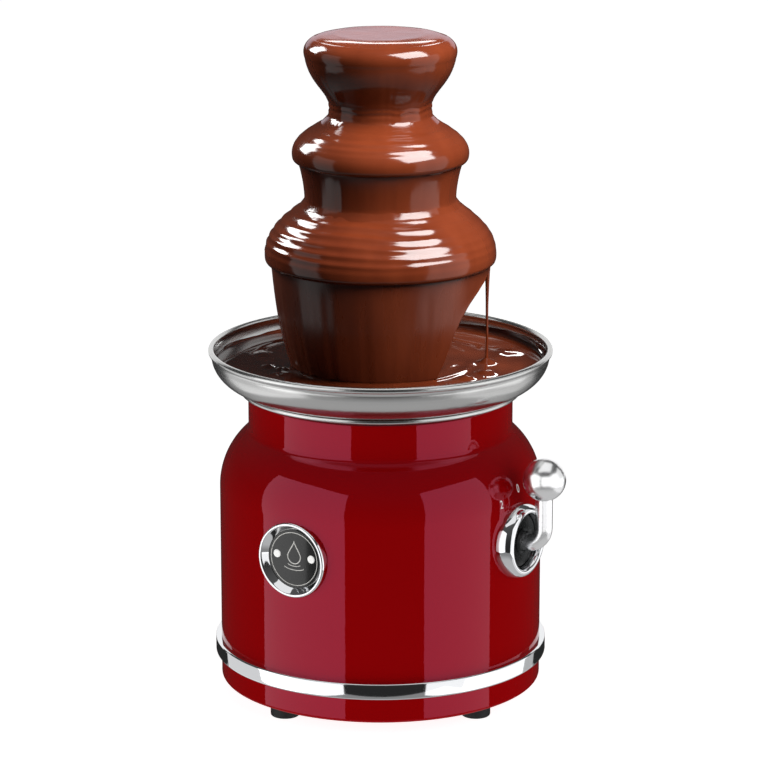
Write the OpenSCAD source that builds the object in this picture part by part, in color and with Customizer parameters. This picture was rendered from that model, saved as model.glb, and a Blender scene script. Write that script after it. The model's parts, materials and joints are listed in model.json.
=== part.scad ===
// Three-tier chocolate fountain: a round red housing, a heated steel bowl, an auger
// tower, a badge with two lamps and a lever that turns a rotary switch. It is shown
// running, so the tower is covered in chocolate. Millimetres, +Z up. The origin is on
// the fountain's axis, on the table. The badge faces -Y and the lever +X.

/* [Housing] */
// Radius of the straight body
body_r = 94; // [88:0.5:104]
// Wall of the moulded housing and base pan
body_wall = 2.5; // [2:0.1:3.5]
// Height of the skirt's lower edge above the table
skirt_gap = 8.5; // [6:0.5:14]
// Height of the skirt below the trim band
skirt_h = 15; // [12:0.5:24]
// Height of the straight body above the skirt
straight_h = 100.5; // [96:0.5:130]
// Radius of the shoulder's arc
shoulder_r = 43; // [34:0.5:46]
// Radius of the neck under the bowl
neck_r = 77; // [74:0.5:81]
// Height of the neck above the shoulder
neck_h = 21; // [12:0.5:28]
// Thickness of the deck inside the neck
deck_t = 3; // [2:0.25:4]
// Radius of the opening in the deck
deck_r = 58; // [56:0.5:60]

/* [Trim band] */
// Height of the chrome band
band_h = 9.5; // [6:0.5:14]
// How far the band stands proud of the body
band_proud = 3.3; // [2:0.1:5]
// Depth of the band's seat in the housing
band_seat = 1; // [0.6:0.1:1.2]

/* [Base] */
// Rise of the pan's floor above the skirt's edge
floor_rise = 2; // [1.5:0.25:4]
// Thickness of the pan's floor
floor_t = 2.5; // [2:0.25:4]
// Number of feet
foot_n = 4; // [3:1:6]
// Radius of a foot
foot_r = 8.5; // [7:0.25:9]
// Radius of the circle that the feet stand on
foot_circle_r = 78; // [70:0.5:79]
// Turn of the feet about the axis
foot_turn = -13; // [-30:1:20]
// Radius of a foot's stem in the pan's floor
stem_r = 3; // [2.4:0.1:3.6]
// How far the stem's barb grips over the floor
barb_over = 1; // [0.6:0.1:1.4]
// Height of the stem's barb
barb_h = 3; // [2:0.25:4]
// Radius of a screw's shank
screw_r = 1.75; // [1.5:0.05:2]
// Radius of a screw's head
head_r = 3.2; // [2.8:0.1:3.5]
// Height of a screw's head
head_h = 2; // [1.5:0.1:2.4]
// Radius of the screw bosses
boss_r = 5; // [4.5:0.1:5.5]
// Length of the screw in its boss
boss_grip = 16; // [10:1:24]
// Distance of the vent slots from the axis
vent_r = 28; // [24:0.5:32]
// Length of a vent slot
vent_l = 20; // [14:0.5:26]
// Number of vent slots in the floor
vent_n = 12; // [6:1:16]
// Width of a vent slot
vent_w = 3; // [2:0.25:4]
// Radius of the cord's bore in its gland
cord_r = 3.6; // [3:0.1:4.5]
// Height of the cord gland
gland_z = 47; // [46:0.5:55]
// Radius of the gland's flange
gland_r = 10; // [9:0.25:12]

/* [Badge] */
// Radius of the badge
badge_r = 22; // [21:0.25:24]
// Height of the badge's centre
badge_z = 101.5; // [95:0.5:104]
// How far the badge stands proud
badge_proud = 2.2; // [1.5:0.1:4]
// Depth of the face inside the bezel
badge_recess = 4; // [3:0.1:5]
// Radius of the badge's cup in the housing
badge_cup_r = 18.2; // [17:0.1:19]
// Radius of a lamp lens
lamp_r = 2.3; // [1.8:0.1:3]
// Distance of a lamp from the badge's centre line
lamp_x = 11.5; // [9:0.25:12]
// Height of the lamps above the badge's centre
lamp_rise = 1.6; // [-2:0.2:3]

/* [Lever] */
// Height of the lever's axis
lever_z = 104; // [96:0.5:106]
// Radius of the escutcheon
esc_r = 22; // [21:0.25:25]
// How far the escutcheon stands proud
esc_proud = 6.5; // [3.5:0.1:9]
// Radius of the turning disc
disc_r = 15; // [13:0.25:15.5]
// Depth of the disc below the escutcheon's front
disc_sunk = 5; // [2:0.5:6]
// Radius of the lever's rod
rod_r = 5; // [3.5:0.1:5.5]
// Distance of the upright rod from the body
lever_reach = 16; // [14:0.5:24]
// Radius of the rod's bend, on its centre line
bend_r = 10; // [7:0.5:11]
// Height of the ball's centre above the axis
ball_rise = 38.5; // [32:0.5:50]
// Radius of the ball
ball_r = 12.4; // [8:0.1:14]
// Radius of the switch spindle
spindle_r = 3; // [2.5:0.1:3.2]
// Half width of the switch bracket
switch_half_w = 28; // [24:0.5:32]
// Side of the square switch body
switch_side = 26; // [20:0.5:32]
// Depth of the switch body
switch_depth = 18; // [12:0.5:22]

/* [Bowl] */
// Radius of the bowl over its rolled rim
bowl_r = 100; // [94:0.5:108]
// Height of the bowl
bowl_h = 26; // [22:0.5:40]
// Thickness of the bowl's steel
bowl_t = 1; // [0.8:0.1:1.4]
// Radius of the rolled rim
rim_r = 1.7; // [1.4:0.1:2.4]
// Overhang of the bowl's foot past the neck
bowl_foot_over = 3.5; // [2:0.25:5]
// Radius of the bead round the bowl's foot
bowl_bead_r = 1.6; // [1.2:0.1:2]
// Thickness of the gasket under the bowl
gasket_t = 1.5; // [1:0.1:2.5]
// How far the circle of the bowl's studs lies inside the middle of the deck's lip
stud_offset = 0.25; // [-1:0.25:2]
// Radius of a stud
stud_r = 2; // [1.5:0.1:2.5]
// Thickness of the heater plate
heater_t = 3; // [2:0.25:4]
// Radius of the heating element's ring
element_r = 47; // [45.5:0.25:49]
// Radius of the heating element's tube
element_tube_r = 3.2; // [2.5:0.1:3.6]
// Radius of the thermostat
thermostat_r = 7.5; // [6:0.25:8]

/* [Drive] */
// Gear module
gear_m = 0.8; // [0.75:0.05:0.9]
// Teeth of a pinion
pinion_n = 16; // [16:1:18]
// Teeth of a wheel
wheel_n = 48; // [44:1:52]
// Height of a wheel
wheel_h = 5.5; // [4:0.25:7]
// Gap between the gear layers
gear_gap = 1.5; // [1:0.1:2.5]
// Radius of the drive shaft
shaft_r = 3.5; // [3:0.1:3.8]
// Radius of the rotor's shaft and the idler's pin
pin_r = 2; // [1.5:0.1:2.2]
// Length of the standoffs under the deck
standoff_h = 24; // [18:0.5:30]
// Thickness of the motor bracket
bracket_t = 2; // [1.5:0.1:3]
// Wall of the gearbox case
case_wall = 2; // [1.5:0.1:3]
// Radius of the motor can
motor_r = 20; // [17:0.5:22]
// Height of the motor can
motor_h = 38; // [32:0.5:46]
// Thickness of the stator
stator_t = 4.5; // [3:0.25:5.5]

/* [Tower] */
// Bore of the tower tube
tube_bore_r = 15; // [13.5:0.25:16.5]
// Wall of the tube at its top
tube_wall = 1.6; // [1.4:0.1:2]
// Step in the tube's radius that carries a tier
tube_step = 1; // [0.8:0.1:1.4]
// Radius of the tube's foot
tube_foot_r = 30; // [28:0.5:33]
// Gap between the auger and the tube
auger_gap = 0.5; // [0.3:0.1:1]
// Pitch of the auger
auger_pitch = 30; // [24:1:40]
// Thickness of the auger's flight
flight_t = 3; // [2:0.25:4]
// Radius of the auger's core
auger_core_r = 5; // [4.5:0.1:6]
// Thickness of a tier
tier_t = 1.6; // [1.2:0.1:2]

/* [Chocolate] */
// Depth of the pool below the rim
pool_drop = 9.5; // [7:0.5:14]
// Thickness of the chocolate on a tier
coat_t = 3; // [2.4:0.1:4]
// Depth of the rounded lip under a dome
lip_h = 3.6; // [2.4:0.2:7]
// Thickness of a falling curtain
curtain_t = 1.2; // [0.9:0.1:2]
// Radius of the lower tier over its chocolate
lower_r = 66.8; // [62:0.2:70]
// Height of the lower tier's lip above the rim
lower_rise = 53.4; // [46:0.5:60]
// Height of the lower dome above its lip
lower_dome_h = 30.6; // [27:0.2:34]
// Radius of the middle tier over its chocolate
middle_r = 50.8; // [48:0.2:52]
// Height of the middle tier's lip above the lower tier's
middle_rise = 58.6; // [55:0.5:64]
// Height of the middle dome above its lip
middle_dome_h = 20.8; // [18:0.2:23]
// Radius of the crown over its chocolate
crown_r = 43.4; // [40:0.2:45]
// Height of the crown's widest point above the middle tier's lip
crown_rise = 59; // [55:0.5:64]
// Height of the chocolate above the crown's widest point
crown_cap_h = 11.6; // [9:0.2:17]
// Direction of the tear in the lower curtain, and of the strand that hangs in it
tear_turn = 29; // [0:1:90]
// Width of the tear at the pool, from its strand towards the front
tear_front_w = 40; // [24:1:48]
// Width of the tear at the pool, from its strand towards the back
tear_back_w = 54; // [30:1:56]
// Radius of the strand at its top
strand_r = 2; // [1.4:0.1:2.4]

/* [Fits] */
// Running clearance of a shaft in its bush, on the radius
run_fit = 0.05; // [0.03:0.01:0.09]
// Clearance of a part in its hole, on the radius
hole_fit = 0.2; // [0.1:0.05:0.3]
// Gap between neighbouring solids that do not touch
gap = 0.3; // [0.25:0.05:0.4]

/* [Hidden] */
$fn = 96;
RED = [0.52, 0.01, 0.02];
CHROME = [0.82, 0.83, 0.85];
STEEL = [0.66, 0.67, 0.68];
BLACK = [0.07, 0.07, 0.07];
BRASS = [0.74, 0.58, 0.28];
WHITE = [0.93, 0.92, 0.88];
COPPER = [0.72, 0.40, 0.22];
PLASTIC = [0.84, 0.82, 0.77];
CHOCOLATE = [0.33, 0.14, 0.06];

// Levels of the housing, from the table up
skirt_top = skirt_gap + skirt_h;
band_top = skirt_top + band_h;
floor_z = skirt_gap + floor_rise;
floor_top = floor_z + floor_t;
inner_r = body_r - body_wall;
shoulder_z = skirt_top + straight_h;
shoulder_cx = body_r - shoulder_r;
neck_z = shoulder_z + sqrt(pow(shoulder_r, 2) - pow(neck_r - shoulder_cx, 2));
neck_top = neck_z + neck_h;
deck_z = neck_top - deck_t;
bowl_z = neck_top + gasket_t;
bowl_floor = bowl_z + bowl_t;
rim_z = bowl_z + bowl_h;
pool_z = rim_z - pool_drop;
skirt_round = 0.8 * body_wall;

// Screws, bosses and feet
boss_circle_r = inner_r - boss_r + 1;
boss_turn = foot_turn + 180 / foot_n;
stud_turn = 60;
stud_circle_r = (deck_r + neck_r - body_wall) / 2 - stud_offset;
gland_wall = 3.4;
gland_hole_r = cord_r + gland_wall;

// Terminal block on the pan's floor
block_l = 36;
block_w = 12;
block_h = 9;
block_y = 52;
rail_w = 6;
rail_h = 4;
clamp_r = 1.8;
wire_r = 1.6;

// Drive train, down from the deck
bracket_top = deck_z - standoff_h;
bracket_z = bracket_top - bracket_t;
case_h = case_wall + 3 * gear_gap + 2 * wheel_h;
case_z = bracket_z - case_h;
layer_1 = case_z + case_wall + gear_gap;
layer_2 = layer_1 + wheel_h + gear_gap;
motor_z = case_z - motor_h;
pressure = 20;
backlash = 0.16;
centre_d = gear_m * (pinion_n + wheel_n) / 2;
wheel_tip = gear_m * wheel_n / 2 + 0.95 * gear_m;
pinion_tip = gear_m * pinion_n / 2 + 0.95 * gear_m;
idler_turn = 135;
motor_turn = 255;
idler_at = centre_d * [cos(idler_turn), sin(idler_turn)];
motor_at = idler_at + centre_d * [cos(motor_turn), sin(motor_turn)];
bush_t = 1.5;
can_t = 1.2;
stator_end = 7;
rotor_end = stator_end + 1;
rotor_r = motor_r - can_t - stator_t - 0.6;
arm_r = stud_circle_r + 6;
hub_disc_r = norm(idler_at) + wheel_tip + case_wall + 3;
ear_d = wheel_tip + case_wall + 3.2;
ears = [ear_d * [cos(-30), sin(-30)], idler_at + ear_d * [cos(60), sin(60)],
    motor_at + (pinion_tip + case_wall + 6) * [cos(220), sin(220)]];

// Tower, up from the bowl
lower_z = rim_z + lower_rise;
middle_z = lower_z + middle_rise;
crown_z = middle_z + crown_rise;
top_z = crown_z + crown_cap_h;
tube_r = [for (i = [0:3]) tube_bore_r + tube_wall + (3 - i) * tube_step];
foot_t = 3;
auger_z = bowl_floor + 6;
socket_h = 12;
auger_r = tube_bore_r - auger_gap;
crown_drop = 27;
tube_drop = 9;
crown_base_z = crown_z - crown_drop;
tube_top = crown_z - tube_drop;
auger_top = tube_top + 1;
lower_seat = lower_z + 0.72 * lower_dome_h;
middle_seat = middle_z + 0.72 * middle_dome_h;
hub_t = 2;
pin_circle_r = (tube_bore_r + tube_foot_r) / 2 + 2;
tower_pin_r = 2.4;
tower_pin_h = foot_t + 3;
// Rim of a coat where the sheet above lands on it
crest_w = 4;
crest_h = 1.6;

// Lever, outward from the axis
bracket_x = sqrt(pow(inner_r, 2) - pow(switch_half_w, 2)) - 0.1;
switch_plate_t = 1.5;
esc_front = body_r + esc_proud;
cup_in_r = disc_r + 0.4;
esc_slope = 0.4 * (esc_r - cup_in_r);
esc_round = 0.5 * (esc_r - cup_in_r);
cup_r = cup_in_r + 1.6;
cup_plate_t = 1.5;
nut_x = bracket_x + cup_plate_t;
nut_h = 2.5;
disc_x = nut_x + nut_h + 0.6;
disc_front = esc_front - disc_sunk;
switch_bush_r = spindle_r + 1.5;
rod_x = body_r + lever_reach;
root_x = disc_front - 1.5;

// Badge, outward from the axis
badge_front = body_r + badge_proud;
face_x = badge_front - badge_recess;
face_t = 1.5;
ledge_t = 1.2;
board_t = 1.6;
badge_in_r = badge_cup_r - 1;
badge_back = face_x - face_t - ledge_t - board_t - 3;
clip_r = badge_cup_r + 6;
clip_x = sqrt(pow(inner_r, 2) - pow(clip_r, 2)) - 0.1;

// Points along a cubic curve, an arc, a list backwards, and a path moved to its right
function bez(p, n = 10, t0 = 0, t1 = 1) = [for (i = [0:n]) let (t = t0 + (t1 - t0) * i / n, u = 1 - t)
    u * u * u * p[0] + 3 * u * u * t * p[1] + 3 * u * t * t * p[2] + t * t * t * p[3]];
function arc(c, r, a0, a1, n = 8) = [for (i = [0:n]) let (a = a0 + (a1 - a0) * i / n)
    c + r * [cos(a), sin(a)]];
function rev(p) = [for (i = [len(p) - 1:-1:0]) p[i]];
function inset(p, d) = [for (i = [0:len(p) - 1])
    let (v = p[min(i + 1, len(p) - 1)] - p[max(i - 1, 0)], t = v / norm(v)) p[i] + d * [t[1], -t[0]]];

// Involute gear outline with a tooth centred on +X
function involute(a) = (tan(a) - a * PI / 180) * 180 / PI;
function flank(n, r) = let (rp = gear_m * n / 2, rb = rp * cos(pressure))
    90 / n - backlash / 4 / rp * 180 / PI + involute(pressure) - involute(acos(min(1, rb / r)));
function tooth(n, k = 4) = let (rp = gear_m * n / 2, rb = rp * cos(pressure),
        root = rp - 1.2 * gear_m, tip = rp + 0.95 * gear_m, r0 = max(rb, root))
    concat([[root, -flank(n, r0)]],
        [for (i = [0:k]) let (r = r0 + (tip - r0) * i / k) [r, -flank(n, r)]],
        [for (i = [k:-1:0]) let (r = r0 + (tip - r0) * i / k) [r, flank(n, r)]],
        [[root, flank(n, r0)]]);
function gear(n) = [for (j = [0:n - 1], p = tooth(n)) let (a = p[1] + 360 * j / n)
    p[0] * [cos(a), sin(a)]];

module ring(r0, r1, h) difference() {
    cylinder(r = r1, h = h);
    translate([0, 0, -1]) cylinder(r = r0, h = h + 2);
}
module at_z(z) translate([0, 0, z]) children();
module spread(n, r, turn = 0) for (i = [0:n - 1]) rotate(turn + 360 * i / n) translate([r, 0, 0]) children();
// Local +Z points out of the front, the right side or the back; local +Y points up,
// and down at the back
module to_front(z) translate([0, 0, z]) rotate([90, 0, 0]) children();
module to_right(z) translate([0, 0, z]) rotate([90, 0, 90]) children();
module to_back(z) translate([0, 0, z]) rotate([-90, 0, 0]) children();
// A screw with its head below z = 0 and its shank above
module screw(length, r = screw_r) union() {
    at_z(-head_h) difference() {
        cylinder(r = head_r, h = head_h);
        for (a = [0, 90]) rotate(a) translate([-head_r * 0.6, -0.4, -1]) cube([head_r * 1.2, 0.8, 1.8]);
    }
    cylinder(r = r, h = length);
}

// Base
module base_pan() color(RED) difference() {
    rotate_extrude() polygon(concat([[0, floor_z], [inner_r, floor_z], [inner_r, skirt_gap]],
        arc([body_r - skirt_round, skirt_gap + skirt_round], skirt_round, -90, 0),
        [[body_r, skirt_top], [inner_r, skirt_top], [inner_r, floor_top], [0, floor_top]]));
    spread(foot_n, foot_circle_r, foot_turn) at_z(floor_z - 1)
        cylinder(r = stem_r + run_fit, h = floor_t + 2);
    spread(foot_n, boss_circle_r, boss_turn) at_z(floor_z - 1)
        cylinder(r = screw_r + hole_fit, h = floor_t + 2);
    for (i = [0:vent_n - 1]) rotate(360 * (i + 0.5) / vent_n)
        translate([vent_r, -vent_w / 2, floor_z - 1]) cube([vent_l, vent_w, floor_t + 2]);
}
// A foot is pushed through the floor from below and held by its barb
module feet() color(BLACK) spread(foot_n, foot_circle_r, foot_turn) union() {
    cylinder(r = foot_r, h = floor_z);
    cylinder(r = stem_r, h = floor_top + barb_h);
    at_z(floor_top) cylinder(r1 = stem_r + barb_over, r2 = stem_r, h = barb_h);
}
module base_screws() color(STEEL) spread(foot_n, boss_circle_r, boss_turn)
    at_z(floor_z) screw(floor_t + boss_grip - 2);
module terminal_block() color(WHITE) translate([-block_l / 2, block_y, floor_top]) difference() {
    union() {
        cube([block_l, block_w, block_h]);
        translate([0, (block_w - rail_w) / 2, block_h]) cube([block_l, rail_w, rail_h]);
    }
    for (i = [0:2]) translate([block_l * (2 * i + 1) / 6, block_w / 2, block_h / 2])
        cylinder(r = clamp_r, h = block_h + rail_h);
    for (i = [0:2]) translate([block_l * (2 * i + 1) / 6, -1, block_h / 2]) rotate([-90, 0, 0])
        cylinder(r = wire_r, h = block_w + 2);
}

// Housing
function body_path(d) = let (c = [shoulder_cx, shoulder_z], r = shoulder_r - d)
    concat([[body_r - d, band_top]], arc(c, r, 0, acos((neck_r - d - c[0]) / r), 14));
module housing_shell() color(RED) difference() {
    union() {
        rotate_extrude() polygon(concat([[inner_r, skirt_top], [body_r - band_seat, skirt_top],
            [body_r - band_seat, band_top]], body_path(0),
            [[neck_r, neck_top], [deck_r, neck_top], [deck_r, deck_z], [neck_r - body_wall, deck_z]],
            rev(body_path(body_wall))));
        intersection() {
            spread(foot_n, boss_circle_r, boss_turn) at_z(floor_top)
                cylinder(r = boss_r, h = boss_grip + skirt_h);
            union() {
                at_z(skirt_top) cylinder(r = inner_r + 0.5, h = 60);
                cylinder(r = inner_r - gap, h = skirt_top + 1);
            }
        }
    }
    spread(foot_n, boss_circle_r, boss_turn) at_z(floor_top - 1)
        cylinder(r = screw_r + run_fit, h = boss_grip + 1);
    spread(3, stud_circle_r, stud_turn) at_z(deck_z - 1) cylinder(r = stud_r + hole_fit, h = deck_t + 2);
    to_front(badge_z) at_z(body_r - 20) cylinder(r = badge_cup_r + hole_fit, h = 40);
    to_right(lever_z) at_z(body_r - 20) cylinder(r = cup_r + hole_fit, h = 40);
    to_back(gland_z) at_z(body_r - 20) cylinder(r = gland_hole_r + hole_fit, h = 40);
}
module trim_band() color(CHROME) let (r0 = body_r - band_seat + 0.05, r1 = body_r + band_proud, c = 0.8)
    rotate_extrude() polygon([[r0, skirt_top], [r1 - c, skirt_top], [r1, skirt_top + c],
        [r1, band_top - c], [r1 - c, band_top], [r0, band_top]]);
module cord_gland() color(BLACK) difference() {
    union() {
        difference() {
            to_back(gland_z) at_z(body_r - 6) cylinder(r = gland_r, h = 10);
            at_z(gland_z - 20) cylinder(r = body_r + 0.05, h = 40);
        }
        to_back(gland_z) at_z(inner_r - 4) cylinder(r = gland_hole_r, h = 12);
        intersection() {
            to_back(gland_z) at_z(inner_r - 4) cylinder(r = gland_r, h = 10);
            at_z(gland_z - 20) cylinder(r = inner_r - 0.05, h = 40);
        }
    }
    to_back(gland_z) at_z(inner_r - 10) cylinder(r = cord_r, h = 30);
}

// Badge
module badge_bezel() color(CHROME) union() {
    difference() {
        to_front(badge_z) rotate_extrude() polygon(concat([[badge_in_r, body_r - 8], [badge_r, body_r - 8]],
            arc([badge_r - 1.4, badge_front - 1.4], 1.4, 0, 90),
            [[badge_in_r + 1.6, badge_front], [badge_in_r, badge_front - 1.6]]));
        at_z(badge_z - 30) cylinder(r = body_r + 0.05, h = 60);
    }
    to_front(badge_z) rotate_extrude() polygon([[badge_in_r, badge_back], [badge_cup_r, badge_back],
        [badge_cup_r, body_r + 0.2], [badge_in_r, body_r + 0.2], [badge_in_r, face_x - face_t],
        [badge_in_r - 1.6, face_x - face_t], [badge_in_r - 1.6, face_x - face_t - ledge_t],
        [badge_in_r, face_x - face_t - ledge_t]]);
}
module lamps_at() to_front(badge_z) for (s = [-1, 1]) translate([s * lamp_x, lamp_rise, 0]) children();
module badge_face() color(BLACK) difference() {
    to_front(badge_z) at_z(face_x - face_t) cylinder(r = badge_in_r - 0.1, h = face_t);
    lamps_at() at_z(face_x - 5) cylinder(r = lamp_r + run_fit, h = 10);
}
module lamp(s) color(WHITE) to_front(badge_z) translate([s * lamp_x, lamp_rise, face_x])
    rotate_extrude() polygon([[0, -face_t], [lamp_r, -face_t], [lamp_r, 0.2], [lamp_r - 0.5, 0.5], [0, 0.6]]);
module heat_lamp() lamp(-1);
module flow_lamp() lamp(1);
module lamp_board() color([0.1, 0.32, 0.16]) let (z = face_x - face_t - ledge_t - board_t) union() {
    to_front(badge_z) at_z(z) cylinder(r = badge_in_r - 0.1, h = board_t);
    lamps_at() at_z(z) cylinder(r = lamp_r - 0.4, h = board_t + ledge_t - 0.1);
}
module badge_clip() color(STEEL) to_front(badge_z) at_z(clip_x - 1.2) ring(badge_cup_r + 0.03, clip_r, 1.2);

// Lever and switch
module lever_escutcheon() color(CHROME) union() {
    difference() {
        to_right(lever_z) rotate_extrude() polygon(concat([[cup_in_r, body_r - 8], [esc_r, body_r - 8]],
            arc([esc_r - esc_round, esc_front - esc_round], esc_round, 0, 90),
            [[cup_in_r + esc_slope, esc_front], [cup_in_r, esc_front - esc_slope]]));
        at_z(lever_z - 30) cylinder(r = body_r + 0.05, h = 60);
    }
    to_right(lever_z) rotate_extrude() polygon([[switch_bush_r + hole_fit, bracket_x], [cup_r, bracket_x],
        [cup_r, body_r + 0.2], [cup_in_r, body_r + 0.2], [cup_in_r, nut_x],
        [switch_bush_r + hole_fit, nut_x]]);
}
module lever_disc() color([0.2, 0.2, 0.2]) to_right(lever_z) difference() {
    union() {
        at_z(disc_x) cylinder(r = disc_r, h = disc_front - disc_x);
        at_z(disc_front - 1) rotate_extrude()
            polygon([[0, 0], [rod_r + 2.2, 0], [rod_r + 2.2, 2], [rod_r + 1, 3.2], [0, 3.2]]);
    }
    at_z(disc_x - 1) cylinder(r = spindle_r + 0.02, h = root_x - disc_x + 1);
    at_z(root_x) cylinder(r = rod_r + 0.02, h = 20);
}
module lever_arm() color(CHROME) to_right(lever_z) union() {
    at_z(root_x) cylinder(r = rod_r, h = rod_x - bend_r - root_x);
    translate([0, bend_r, rod_x - bend_r]) rotate([0, 0, 180]) rotate([0, -90, 0])
        rotate_extrude(angle = 90) translate([bend_r, 0]) circle(r = rod_r);
    translate([0, bend_r, rod_x]) rotate([-90, 0, 0]) cylinder(r = rod_r, h = ball_rise - bend_r - 2);
}
module lever_ball() color(CHROME) to_right(lever_z) translate([0, ball_rise, rod_x]) rotate([-90, 0, 0])
    rotate_extrude() difference() {
        intersection() {
            circle(r = ball_r);
            translate([0, -ball_r]) square([ball_r, 2 * ball_r]);
        }
        translate([-1, -2 * ball_r]) square([rod_r + 1.02, 2 * ball_r - 2]);
    }
module lever_spindle() color(STEEL) to_right(lever_z) at_z(bracket_x - switch_plate_t - switch_depth + 2)
    cylinder(r = spindle_r, h = root_x - bracket_x + switch_plate_t + switch_depth - 2);
module rotary_switch() color([0.16, 0.16, 0.17]) let (x1 = bracket_x - switch_plate_t, x0 = x1 - switch_depth)
    to_right(lever_z) difference() {
        union() {
            translate([-switch_side / 2, -switch_side / 2, x0])
                cube([switch_side, switch_side, switch_depth]);
            at_z(x1 - 1) cylinder(r = switch_bush_r, h = nut_x + nut_h + 0.3 - x1 + 1);
            for (s = [-1, 0, 1]) translate([s * switch_side / 3 - 2, -switch_side / 2 - 6, x0 + 4])
                cube([4, 8, 1]);
        }
        at_z(x0 + 1.8) cylinder(r = spindle_r + run_fit, h = 60);
    }
module switch_nut() color(BRASS) to_right(lever_z) at_z(nut_x) difference() {
    cylinder(r = switch_bush_r + 3, h = nut_h, $fn = 6);
    at_z(-1) cylinder(r = switch_bush_r + 0.03, h = nut_h + 2);
}
module switch_bracket() color(STEEL) to_right(lever_z) at_z(bracket_x - switch_plate_t) difference() {
    translate([-switch_half_w, -switch_side / 2 - 4, 0])
        cube([2 * switch_half_w, switch_side + 8, switch_plate_t]);
    at_z(-1) cylinder(r = switch_bush_r + 0.03, h = switch_plate_t + 2);
}

// Bowl
bowl_foot_r = neck_r + bowl_foot_over;
bowl_p0 = [bowl_foot_r + bowl_bead_r, bowl_z + 2 * bowl_bead_r];
bowl_p3 = [bowl_r - rim_r, rim_z - 2 * rim_r];
bowl_curve = [bowl_p0,
    [bowl_p0[0] + 0.6 * (bowl_p3[0] - bowl_p0[0]), bowl_p0[1] + 0.16 * (bowl_p3[1] - bowl_p0[1])],
    [bowl_p3[0], bowl_p3[1] - 0.48 * (bowl_p3[1] - bowl_p0[1])], bowl_p3];
seal_r = shaft_r + 4.5;
module bowl() color(STEEL) rotate_extrude() union() {
    polygon(concat([[seal_r, bowl_z], [bowl_foot_r, bowl_z]],
        arc([bowl_foot_r, bowl_z + bowl_bead_r], bowl_bead_r, -90, 60), bez(bowl_curve, 12),
        rev(inset(bez(bowl_curve, 12), -bowl_t)), [[bowl_foot_r - 1, bowl_floor], [seal_r, bowl_floor]]));
    translate([bowl_r - rim_r, rim_z - rim_r]) circle(r = rim_r, $fn = 32);
}
module bowl_gasket() color(BLACK) at_z(neck_top) ring(neck_r - 5, neck_r - 0.6, gasket_t);
module bowl_studs() color(STEEL) spread(3, stud_circle_r, stud_turn) at_z(deck_z - 10)
    cylinder(r = stud_r, h = bowl_z - deck_z + 10);
module shaft_seal() color(BLACK) rotate_extrude() polygon([
    [shaft_r + run_fit, bowl_z - 3], [seal_r + 3, bowl_z - 3],
    [seal_r + 3, bowl_z], [seal_r - 0.02, bowl_z], [seal_r - 0.02, bowl_floor], [seal_r + 2.5, bowl_floor],
    [seal_r + 1.5, bowl_floor + 2], [shaft_r + run_fit, bowl_floor + 3]]);
module tower_pins() color(STEEL) spread(3, pin_circle_r, 30) at_z(bowl_floor) union() {
    cylinder(r = tower_pin_r, h = tower_pin_h);
    at_z(tower_pin_h) sphere(r = tower_pin_r);
}
module heater_plate() color([0.75, 0.75, 0.76]) at_z(bowl_z - heater_t)
    ring(seal_r + 6, deck_r - 3, heater_t);
module heating_element() color([0.4, 0.38, 0.36]) let (z = bowl_z - heater_t - element_tube_r) union() {
    rotate(20) rotate_extrude(angle = 320) translate([element_r, z]) circle(r = element_tube_r, $fn = 32);
    for (a = [20, 340]) rotate(a) translate([element_r, 0, z - 14]) cylinder(r = 1.3, h = 14);
    for (a = [20, 340]) rotate(a) translate([element_r, 0, z]) sphere(r = element_tube_r);
}
thermo_r = (seal_r + 6 + element_r - element_tube_r) / 2;
module thermostat() color(BLACK) translate([0, thermo_r, bowl_z - heater_t - 7]) union() {
    cylinder(r = thermostat_r, h = 7);
    for (s = [-1, 1]) translate([s * 4 - 1.5, -0.4, -6]) cube([3, 0.8, 7]);
}
module thermal_fuse() color(WHITE) translate([-7, -thermo_r, bowl_z - heater_t - 2.3]) union() {
    rotate([0, 90, 0]) cylinder(r = 2.3, h = 14);
    for (x = [-5, 14]) translate([x, 0, 0]) rotate([0, 90, 0]) cylinder(r = 0.5, h = 5);
}

// Motor, gears and drive shaft
module standoffs() color(BRASS) spread(3, stud_circle_r, stud_turn) at_z(bracket_top) difference() {
    cylinder(r = stud_r + 2, h = standoff_h, $fn = 6);
    at_z(-1) cylinder(r = stud_r + run_fit, h = standoff_h + 2);
}
module motor_bracket() color(STEEL) at_z(bracket_z) difference() {
    union() {
        cylinder(r = hub_disc_r, h = bracket_t);
        for (i = [0:2]) rotate(stud_turn + 120 * i) translate([0, -7, 0]) cube([arm_r, 14, bracket_t]);
    }
    spread(3, stud_circle_r, stud_turn) at_z(-1) cylinder(r = stud_r + hole_fit, h = bracket_t + 2);
    at_z(-1) cylinder(r = shaft_r + bush_t + 0.02, h = bracket_t + 2);
    translate([idler_at[0], idler_at[1], -1]) cylinder(r = pin_r + 0.02, h = bracket_t + 2);
    for (p = ears) translate([p[0], p[1], -1]) cylinder(r = screw_r + run_fit, h = bracket_t + 2);
}
module bracket_screws() color(STEEL) spread(3, stud_circle_r, stud_turn) at_z(bracket_z)
    screw(bracket_t + 8, stud_r);
module gearbox_plan(grow) {
    circle(r = wheel_tip + 1 + grow);
    translate(idler_at) circle(r = wheel_tip + 1 + grow);
    translate(motor_at) circle(r = pinion_tip + 4 + grow);
}
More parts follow.
